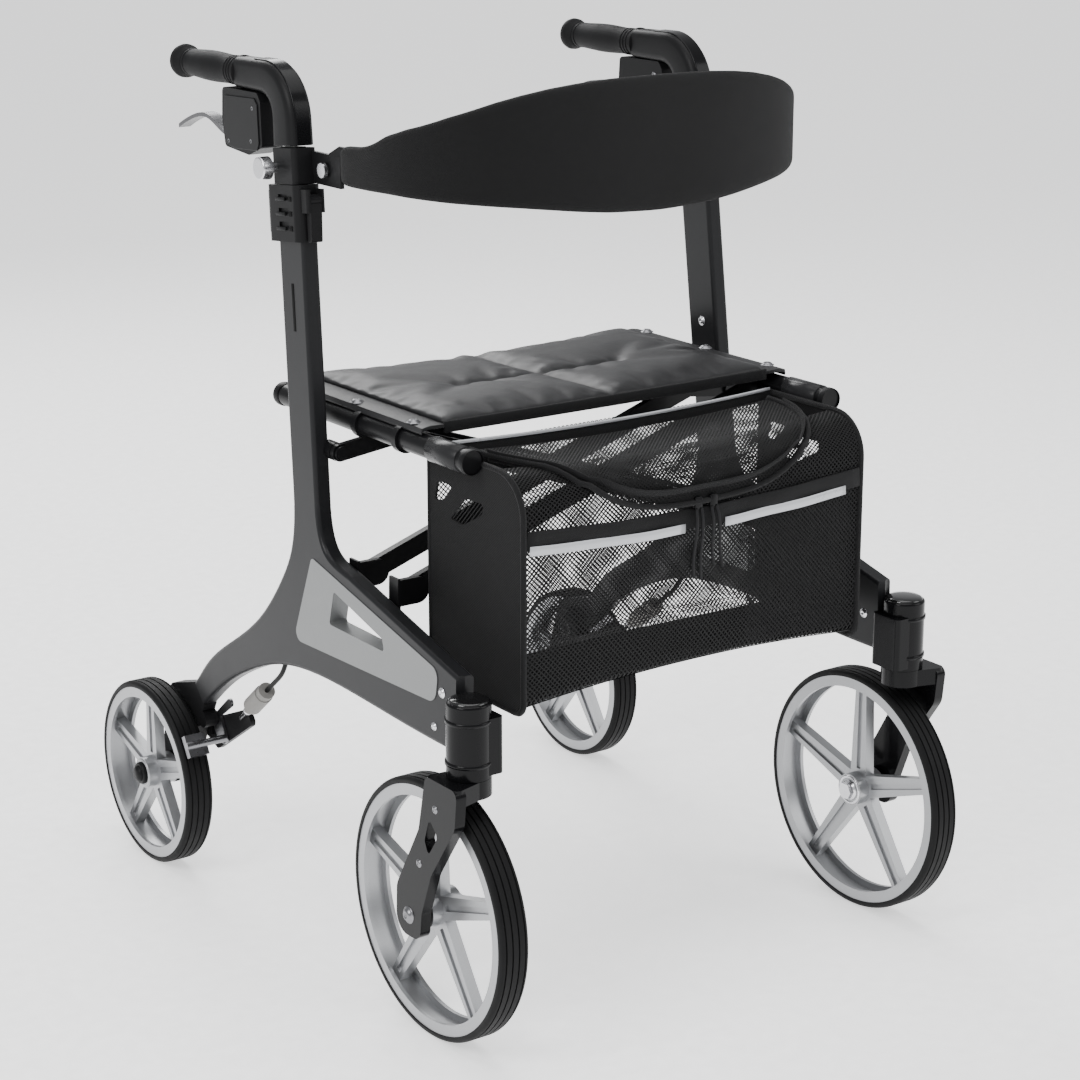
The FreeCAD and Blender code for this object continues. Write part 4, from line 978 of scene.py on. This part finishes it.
class WALKER_OT_bag(bpy.types.Operator):
    """Make the bag: side panels, net, lid, zip, stripes and pull tabs"""

    bl_idname = "walker.bag"
    bl_label = "Bag"

    def execute(self, context):
        s = context.scene.walker_bag
        half = s.half_width

        def sewn(name, bm, finish, slot="bag_fabric", **options):
            return piece(name, bm, finish, "right_rail", slot, fold=half, **options)

        outline = arc_points((s.front + 0.040, s.top - 0.037), 0.040, 90, 180, 10)
        for y, start in ((s.front + BAG_CORNER, 180), (s.back - BAG_CORNER, 270)):
            outline += arc_points((y, s.bottom + 0.008), BAG_CORNER, start, start + 90, 5)
        outline += [(s.back, s.top + 0.003)]
        slots = (
            ((-0.1600, 0.4925), (-0.1740, 0.4950), (-0.1900, 0.5120), (-0.1650, 0.5125)),
            ((-0.1860, 0.4800), (-0.2070, 0.4780), (-0.2400, 0.4960), (-0.2420, 0.5060), (-0.2110, 0.5050)),
        )
        panel_plane = Matrix(((0, 0, 1, 0), (1, 0, 0, 0), (0, 1, 0, 0), (0, 0, 0, 1)))
        for word, side in SIDES:
            bm = bmesh.new()
            where = Matrix.Translation((side * half - 0.00125, 0, 0)) @ panel_plane
            slab(bm, flat_points(outline), where, 0.0025)
            panel = piece(word + "_bag_panel", bm, "bag cloth", None, "bag_fabric", flat=True)
            bm = bmesh.new()
            for slot in slots:
                hole = flat_points(blunted(slot, 0.0028))
                slab(bm, hole, Matrix.Translation((side * half - 0.01, 0, 0)) @ panel_plane, 0.02)
            bmesh.ops.recalc_face_normals(bm, faces=bm.faces)
            cutter_mesh = bpy.data.meshes.new("cutter")
            bm.to_mesh(cutter_mesh)
            bm.free()
            cutter = bpy.data.objects.new("cutter", cutter_mesh)
            context.scene.collection.objects.link(cutter)
            context.view_layer.update()
            cut = panel.modifiers.new("Openings", "BOOLEAN")
            cut.operation = "DIFFERENCE"
            cut.object = cutter
            cut.solver = "FAST"
            mesh = shown_mesh(panel)
            panel.modifiers.clear()
            panel.data = mesh
            bpy.data.objects.remove(cutter)
            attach(panel, "right_rail")
            fold_flat(panel)

            bm = bmesh.new()
            for slot in slots:
                middle = [sum(values) / len(slot) for values in zip(*slot)]
                wider = [[m + 1.15 * (value - m) for value, m in zip(corner, middle)] for corner in slot]
                edges = loop_from(bm, [Vector((side * half, y, z)) for y, z in wider])[1]
                bmesh.ops.contextual_create(bm, geom=edges)
            sewn(word + "_panel_net", bm, "side net", flat=True)

            bm = bmesh.new()
            loop = [Vector((side * (half - 0.0005), y, z)) for y, z in outline]
            path = [loop[-1]] + loop
            tube(bm, path, 0.003, 8, (1, 0, 0))
            sewn(word + "_panel_binding", bm, "binding")

        net = bag_sheet("bag_net", "bag net", s, 5, None, -half + 0.001, half - 0.001, 0.0)
        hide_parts("bag_body")
        stretched(s, 5, None)
        pocket = bag_sheet("bag_pocket", "close net", s, 16, 33, 0.062, half - 0.004, -0.005, 16)
        stretched(s, 16, 33)
        bag_sheet("bag_lower_binding", "bag cloth", s, 32, 35, -half + 0.002, half - 0.002, 0.0008)
        bag_sheet("bag_base", "bag cloth", s, 33, 46, -half + 0.01, half - 0.01, -0.001)

        bm = bmesh.new()
        bmesh.ops.create_grid(bm, x_segments=36, y_segments=14, size=1.0)
        for v in bm.verts:
            v.co = lid_point(s, v.co.x, (v.co.y + 1) / 2, 0.0022)
        bmesh.ops.remove_doubles(bm, verts=bm.verts, dist=1e-4)
        lid = piece("bag_lid_net", bm, "lid net", "bag_lid", "bag_fabric", replaces=("bag_lid",))
        fold_flat(lid)
        bm = bmesh.new()
        rim = [lid_point(s, -math.cos(math.pi * i / 48), 1.0, 0.003) for i in range(49)]
        tube(bm, rim, 0.0028, 8)
        inside = [lid_point(s, -0.985 * math.cos(math.pi * i / 48), 0.92, 0.0026) for i in range(49)]
        ribbon(bm, inside, 0.012, 0.0016, (0, -0.6, 0.8))
        piece("lid_zip", bm, "binding", "bag_lid", "bag_fabric", fold=half)

        def across(z_edge, z_middle, y_at, low_x, high_x, count=36):
            points = []
            for i in range(count + 1):
                x = low_x + (high_x - low_x) * i / count
                z = z_middle + (z_edge - z_middle) * (x / half) ** 2
                points.append(net_sag(s, Vector((x, y_at, z))))
            return points

        bm = bmesh.new()
        ribbon(bm, across(0.4845, 0.477, s.front - 0.0012, -half + 0.003, half - 0.003), 0.019, 0.0012)
        ribbon(bm, across(0.541, 0.5365, s.back - 0.018, -half + 0.003, half - 0.003), 0.012, 0.0014)
        sewn("bag_hems", bm, "binding")
        bm = bmesh.new()
        ribbon(bm, across(0.4755, 0.468, s.front - 0.0022, -half + 0.006, -0.020, 24), s.stripe_width, 0.001)
        ribbon(bm, across(0.4755, 0.468, s.front - 0.0022, 0.026, half - 0.022, 20), s.stripe_width, 0.001)
        ribbon(bm, across(0.5480, 0.5425, s.back - 0.019, -half + 0.006, half - 0.006), 0.0034, 0.0014)
        sewn("bag_stripe", bm, "reflective tape", "bag_stripe")

        bm = bmesh.new()
        top = lid_point(s, 0.0, 1.0, 0.0)
        for x, drop, lean in (
            (-0.010, 0.066, -0.002),
            (-0.004, 0.070, 0.001),
            (0.008, 0.058, 0.004),
            (0.014, 0.062, 0.009),
        ):
            path = []
            for t in range(7):
                y = s.front - 0.0085 - 0.002 * math.sin(t)
                path.append((x + lean * t / 6, y, top.z - 0.006 - drop * t / 6))
            ribbon(bm, path, 0.0032, 0.0026, OUTWARD)
        sewn("zip_pull_tabs", bm, "pull tab")
        bm = bmesh.new()
        for x in (-0.007, 0.011):
            where = facing((x, s.front - 0.0085, top.z - 0.001), REARWARD)
            slab(bm, rounded_outline(0.009, 0.013, 0.002, 3), where, 0.004, 0.0008)
        sewn("zip_sliders", bm, "gloss black", "bright_metal")
        return {"FINISHED"}


# ---- handles ------------------------------------------------------------
def screw_profile(radius, height):
    """Domed screw head with a washer and a socket in its top."""
    dome = ((0, 0.45), (0.3, 0.5), (0.34, 0.98), (0.6, 0.86), (0.85, 0.45))
    washer = ((0.92, 0.18), (1.12, 0.14), (1.14, 0))
    return [(radius * r, height * h) for r, h in dome + washer]


def domed_screw(bm, where, radius, height):
    lathe(bm, screw_profile(radius, height), where, 20)


def neck_line(side):
    """Points along the gooseneck from the block to the grip."""
    low_z, bend = 0.808, 0.040
    low = Vector((POST_REF.x, POST_REF.y + (low_z - POST_REF.z) * math.tan(POST_BACK), low_z))
    corner = Vector((POST_REF.x, POST_REF.y + (GRIP_Z - POST_REF.z) * math.tan(POST_BACK), GRIP_Z))
    end = Vector((POST_REF.x, GRIP_START + 0.002, GRIP_Z))
    first = (corner - low).normalized()
    ahead = Vector(REARWARD)
    angle = first.angle(ahead)
    start = corner - first * bend * math.tan(angle / 2)
    centre = start + (ahead - first * first.y).normalized() * bend
    points = [low, low + (start - low) / 2]
    points += [centre + Matrix.Rotation(-angle * i / 12, 3, "X") @ (start - centre) for i in range(13)]
    points += [points[-1] + (end - points[-1]) * i / 3 for i in range(1, 4)]
    pivot = Matrix.Translation((POST_REF.x, 0, POST_REF.z))
    lean = pivot @ Matrix.Rotation(-LEAN, 4, "Y") @ pivot.inverted()
    return [mirror_for(side) @ (lean @ p) for p in points]


def groove(profile, radius, depth, station):
    """Adds a narrow groove to the profile of a grip."""
    deep = radius - depth
    profile += [(radius, station), (deep, station + 0.0006)]
    profile += [(deep, station + 0.0016), (radius, station + 0.0022)]


def grip_profile(r, rings):
    """Grip with a flange at its start, grooves near both ends and a flared end."""
    profile = [(0.0, 0.0), (r * 0.9, 0.0), (r * 1.03, 0.001), (r * 1.03, 0.0045), (r * 0.93, 0.0055)]
    for ring in range(rings):
        groove(profile, r * 0.93, r * 0.07, 0.008 + 0.005 * ring)
    swell = 0.008 + 0.005 * rings
    for i in range(12):
        t = i / 11
        radius = r * (0.9 + 0.09 * math.sin(math.pi * t) ** 1.3 - 0.03 * t)
        profile.append((radius, swell + 0.003 + (0.098 - swell) * t))
    for ring in range(rings - 1):
        groove(profile, r * 0.88, r * 0.06, 0.104 + 0.005 * ring)
    profile += [(r * 0.94, 0.1165), (r * 1.07, 0.119), (r * 1.09, 0.1235), (r * 1.02, 0.1272)]
    return profile + [(r * 0.8, 0.1283), (r * 0.3, 0.1285), (0, 0.1285)]


HOUSING_HALF = 0.0118
HOUSING_SCREWS = ((0.074, 0.838), (0.078, 0.806), (0.122, 0.802))
HOUSING_COVER = ((0.066, 0.798), (0.112, 0.7955), (0.1285, 0.800), (0.131, 0.822))  # y, z
HOUSING_COVER += ((0.128, 0.846), (0.070, 0.848), (0.0645, 0.842), (0.0625, 0.806))


class WALKER_OT_handles(bpy.types.Operator):
    """Make the goosenecks, grips and lever-housing fittings"""

    bl_idname = "walker.handles"
    bl_label = "Handles"

    def execute(self, context):
        s = context.scene.walker_grips
        for word, side in SIDES:
            body = word + "_handle"
            line = neck_line(side)
            frames = path_frames(line, OUTWARD)
            shares = [i / (len(frames) - 1) for i in range(len(frames))]
            depths = [0.041 * (1 - t) + 0.0295 * t for t in shares]
            sizes = [Matrix.Diagonal((deep, 0.0275 - 0.001 * t, 1, 1)) for deep, t in zip(depths, shares)]
            bm = bmesh.new()
            outline = rounded_outline(1, 1, 0.26, 4)
            sweep(bm, outline, [where @ size for where, size in zip(frames, sizes)])
            hidden = (word + "_handle_neck",)
            shell = piece(word + "_neck_shell", bm, "black moulding", body, "neck_plastic", hidden)
            soften(shell, 0.001, angle=50)

            bm = bmesh.new()
            strip = []
            for where, p, deep in list(zip(frames, line, depths))[:-2]:
                away = where.to_3x3() @ Vector(OUTWARD)
                away = away if away.y < 0 or away.z > 0.5 else -away
                strip.append(p + away * (deep / 2 - 0.0002))
            ribbon(bm, strip, 0.0165, 0.0022, OUTWARD)
            gloss = piece(word + "_neck_gloss_strip", bm, "gloss black", body, "neck_plastic")
            soften(gloss, 0.0006)

            bm = bmesh.new()
            start = (side * side_x(GRIP_Z), GRIP_START, GRIP_Z)
            lathe(bm, grip_profile(s.radius, s.rings), facing(start, REARWARD), 40)
            grip = piece(word + "_grip_cover", bm, "grip rubber", body, "grip_rubber", (word + "_grip",))
            soften(grip, 0.0003, 1, 50)

            bm = bmesh.new()
            housing_x = side * side_x(0.818)
            for y, z in HOUSING_SCREWS:
                for out in (side, -side):
                    where = facing((housing_x + out * HOUSING_HALF, y, z), (out, 0, 0))
                    domed_screw(bm, where, 0.0034, 0.0016)
            piece(word + "_housing_screws", bm, "dark metal", body, "bright_metal")
            bm = bmesh.new()
            plate_plane = Matrix(((0, 0, side, 0), (1, 0, 0, 0), (0, 1, 0, 0), (0, 0, 0, 1)))
            where = Matrix.Translation((housing_x + side * HOUSING_HALF, 0, 0)) @ plate_plane
            slab(bm, flat_points(HOUSING_COVER), where, 0.0014)
            cover = piece(word + "_housing_cover", bm, "satin black", body, "black_plastic", flat=True)
            soften(cover, 0.0006)
        return {"FINISHED"}


# ---- small fittings -----------------------------------------------------
def box_on(bm, where, wide, deep, tall, bevel=0.0006):
    """Small bevelled block centred in a frame, standing along +Z."""
    shape = where @ Matrix.Translation((0, 0, tall / 2)) @ Matrix.Diagonal((wide, deep, tall, 1))
    made = bmesh.ops.create_cube(bm, size=1.0, matrix=shape)
    rounded_edges(bm, list(dict.fromkeys(e for v in made["verts"] for e in v.link_edges)), bevel)


FRAME_HALF = 0.0092
FRAME_SCREWS = (
    # y, z, radius, outer or inner face
    (-0.262, 0.342, 0.0045, 1),
    (-0.250, 0.306, 0.0036, 1),
    (0.006, 0.444, 0.004, -1),
    (-0.266, 0.325, 0.0045, -1),
)
BLADE_X = STEER_X + 0.0335
ADJUSTER_AXIS = Vector((-0.0015, 0.038, -0.030)).normalized()
ADJUSTER_END = Vector((0.252, 0.088, 0.240)) + ADJUSTER_AXIS * 0.050
CAP_DOME = ((0, 0.0032), (0.010, 0.0029), (0.0165, 0.0018), (0.0185, 0.0006), (0.0186, -0.001))
HEAD_RING = ((0.0208, -0.0022), (0.0222, -0.0016), (0.0222, 0.0016), (0.0208, 0.0022))
HUB_NUT = ((0, 0.0042), (0.0052, 0.0042), (0.0056, 0.0036), (0.0056, 0.0022))
HUB_NUT += ((0.0105, 0.0018), (0.0112, 0.0), (0.0112, -0.002))
BOLT_CAP = ((0, 0.0045), (0.0048, 0.0043), (0.0075, 0.003), (0.0088, 0.0008), (0.009, -0.001))
COVER_RING = ((0, 0.002), (0.006, 0.0018), (0.0075, 0.0006), (0.014, 0.0008))
COVER_RING += ((0.0155, 0.0022), (0.017, 0.0008), (0.0172, -0.001))
THREAD = ((0, 0), (0.0022, 0), (0.0022, 0.004), (0.0048, 0.0042), (0.0048, 0.0075))
THREAD += ((0.0022, 0.0078), (0.0022, 0.027), (0, 0.0275))
RAIL_RING = ((0.0118, -0.004), (0.0122, -0.002), (0.0122, 0.002), (0.0118, 0.004))
SLEEVE = ((0.0112, 0), (0.0124, 0.001), (0.0124, 0.049), (0.0112, 0.050))
HUB_RIDGE = ((0.0128, 0.0004), (0.0142, 0.0014), (0.0156, 0.0004), (0.0156, -0.002))
TURNED = (
    # name, finish, body and slot, then shapes: profile of (radius, height), axis, steps and places
    (
        ("head_cap", "cap gloss", "side", "black_gloss"),
        (CAP_DOME, UP, 48, (STEER_X, STEER_Y, 0.348)),
    ),
    (
        ("head_rings", "gloss black", "side", "black_gloss"),
        (HEAD_RING, UP, 48, (STEER_X, STEER_Y, 0.290), (STEER_X, STEER_Y, 0.330)),
    ),
    (
        ("fork_screws", "dark metal", "fork", "bright_metal"),
        (screw_profile(0.0036, 0.0018), OUTWARD, 20, (BLADE_X, -0.300, 0.248), (BLADE_X, -0.272, 0.186)),
        (screw_profile(0.0075, 0.004), OUTWARD, 20, (BLADE_X, FRONT_Y, FRONT_Z)),
    ),
    (
        ("front_hub_nut", "bright metal", "front_wheel", "bright_metal"),
        (HUB_NUT, INWARD, 24, (STEER_X - HUB_HALF, FRONT_Y, FRONT_Z)),
        (HUB_RIDGE, INWARD, 40, (STEER_X - HUB_HALF, FRONT_Y, FRONT_Z)),
    ),
    (
        ("rear_hub_ring", "rim silver", "rear_wheel", "rim_silver"),
        (HUB_RIDGE, OUTWARD, 40, (REAR_X + HUB_HALF, REAR_Y, REAR_Z)),
    ),
    (
        ("rear_bolt_cap", "black moulding", "side", "black_plastic"),
        (BOLT_CAP, OUTWARD, 32, (REAR_X + HUB_HALF + 0.005, REAR_Y, REAR_Z)),
    ),
    (
        ("brake_cover_ring", "black moulding", "side", "black_plastic"),
        (COVER_RING, INWARD, 40, (REAR_X - HUB_HALF - 0.0273, 0.247, 0.172)),
    ),
    (
        ("adjuster_thread", "bright metal", "side", "bright_metal"),
        (THREAD, ADJUSTER_AXIS, 20, ADJUSTER_END),
    ),
    (
        ("rail_cap_rings", "black moulding", "rail", "black_plastic"),
        (RAIL_RING, REARWARD, 32, (RAIL_X, -0.238, RAIL_Z), (RAIL_X, 0.097, RAIL_Z)),
    ),
    (
        ("rail_sleeve", "sleeve grey", "rail", "rail_black"),
        (SLEEVE, REARWARD, 32, (RAIL_X, -0.228, RAIL_Z)),
    ),
)


class WALKER_OT_fittings(bpy.types.Operator):
    """Make screws, caps, collar studs and hub details"""

    bl_idname = "walker.fittings"
    bl_label = "Fittings"

    def execute(self, context):
        for word, side in SIDES:
            frame_side = word + "_side"

            def on_post(x, y, z):
                outward = Matrix.Rotation(math.pi / 2, 4, "Y")
                return post_frame(side) @ Matrix.Translation((x, y, up_post(z))) @ outward

            # The collar bars are real ridges. The thin near-black plates in slots stand in for the slots
            # between and below them; their black is painted shade of the recesses, not a part's own colour.
            bars, slots = bmesh.new(), bmesh.new()
            for z in (0.7305, 0.7445, 0.7585):
                box_on(bars, on_post(0.0142, 0.004, z), 0.0035, 0.017, 0.0022)
                box_on(slots, on_post(0.0139, -0.012, z), 0.0048, 0.0048, 0.0007, 0.0002)
            box_on(slots, on_post(0.0089, 0.0, 0.655), 0.046, 0.0042, 0.0005, 0.0002)
            piece(word + "_collar_bars", bars, "black moulding", frame_side, "black_plastic")
            piece(word + "_painted_slot_shade", slots, "painted slot shade", frame_side, "black_plastic")

            bm = bmesh.new()
            for y, z, radius, out in FRAME_SCREWS:
                where = facing((side * (side_x(z) + out * FRAME_HALF), y, z), (side * out, 0, 0))
                domed_screw(bm, where, radius, 0.002)
            for z in (0.430, 0.585):
                y = (z - 0.58) * math.tan(POST_BACK) - 0.004
                where = facing((side * (side_x(z) - FRAME_HALF), y, z), (-side, 0, 0))
                domed_screw(bm, where, 0.0045, 0.0022)
            piece(word + "_frame_screws", bm, "bright metal", frame_side, "bright_metal")

            for (name, finish, body, slot), *shapes in TURNED:
                bm = bmesh.new()
                for profile, axis, steps, *places in shapes:
                    for x, y, z in places:
                        where = facing((side * x, y, z), (side * axis[0], axis[1], axis[2]))
                        lathe(bm, profile, where, steps)
                piece(f"{word}_{name}", bm, finish, f"{word}_{body}", slot)
        return {"FINISHED"}


SETTINGS = {
    "walker_finishes": WalkerFinishSettings,
    "walker_seat": WalkerSeatSettings,
    "walker_band": WalkerBandSettings,
    "walker_bag": WalkerBagSettings,
    "walker_grips": WalkerGripSettings,
    "walker_stage": WalkerStageSettings,
}
OPERATORS = (
    WALKER_OT_finishes,
    WALKER_OT_stage,
    WALKER_OT_seat,
    WALKER_OT_backrest,
    WALKER_OT_bag,
    WALKER_OT_handles,
    WALKER_OT_fittings,
)


class WALKER_PT_panel(bpy.types.Panel):
    """Lists the walker's sizes, colours and build steps"""

    bl_label = "Walker"
    bl_idname = "WALKER_PT_panel"
    bl_space_type = "VIEW_3D"
    bl_region_type = "UI"
    bl_category = "Walker"

    def draw(self, context):
        for key, kind in SETTINGS.items():
            box = self.layout.box()
            group = getattr(context.scene, key)
            for label in kind.__annotations__:
                box.prop(group, label)
        for operator in OPERATORS:
            self.layout.operator(operator.bl_idname)


def register():
    for kind in (*SETTINGS.values(), *OPERATORS, WALKER_PT_panel):
        bpy.utils.register_class(kind)
    for key, kind in SETTINGS.items():
        setattr(bpy.types.Scene, key, PointerProperty(type=kind))


def unregister():
    for key in SETTINGS:
        delattr(bpy.types.Scene, key)
    for kind in (WALKER_PT_panel, *reversed(OPERATORS), *reversed(SETTINGS.values())):
        bpy.utils.unregister_class(kind)


def main():
    register()
    for operator in OPERATORS:
        group, name = operator.bl_idname.split(".")
        getattr(getattr(bpy.ops, group), name)()


if __name__ == "__main__":
    main()
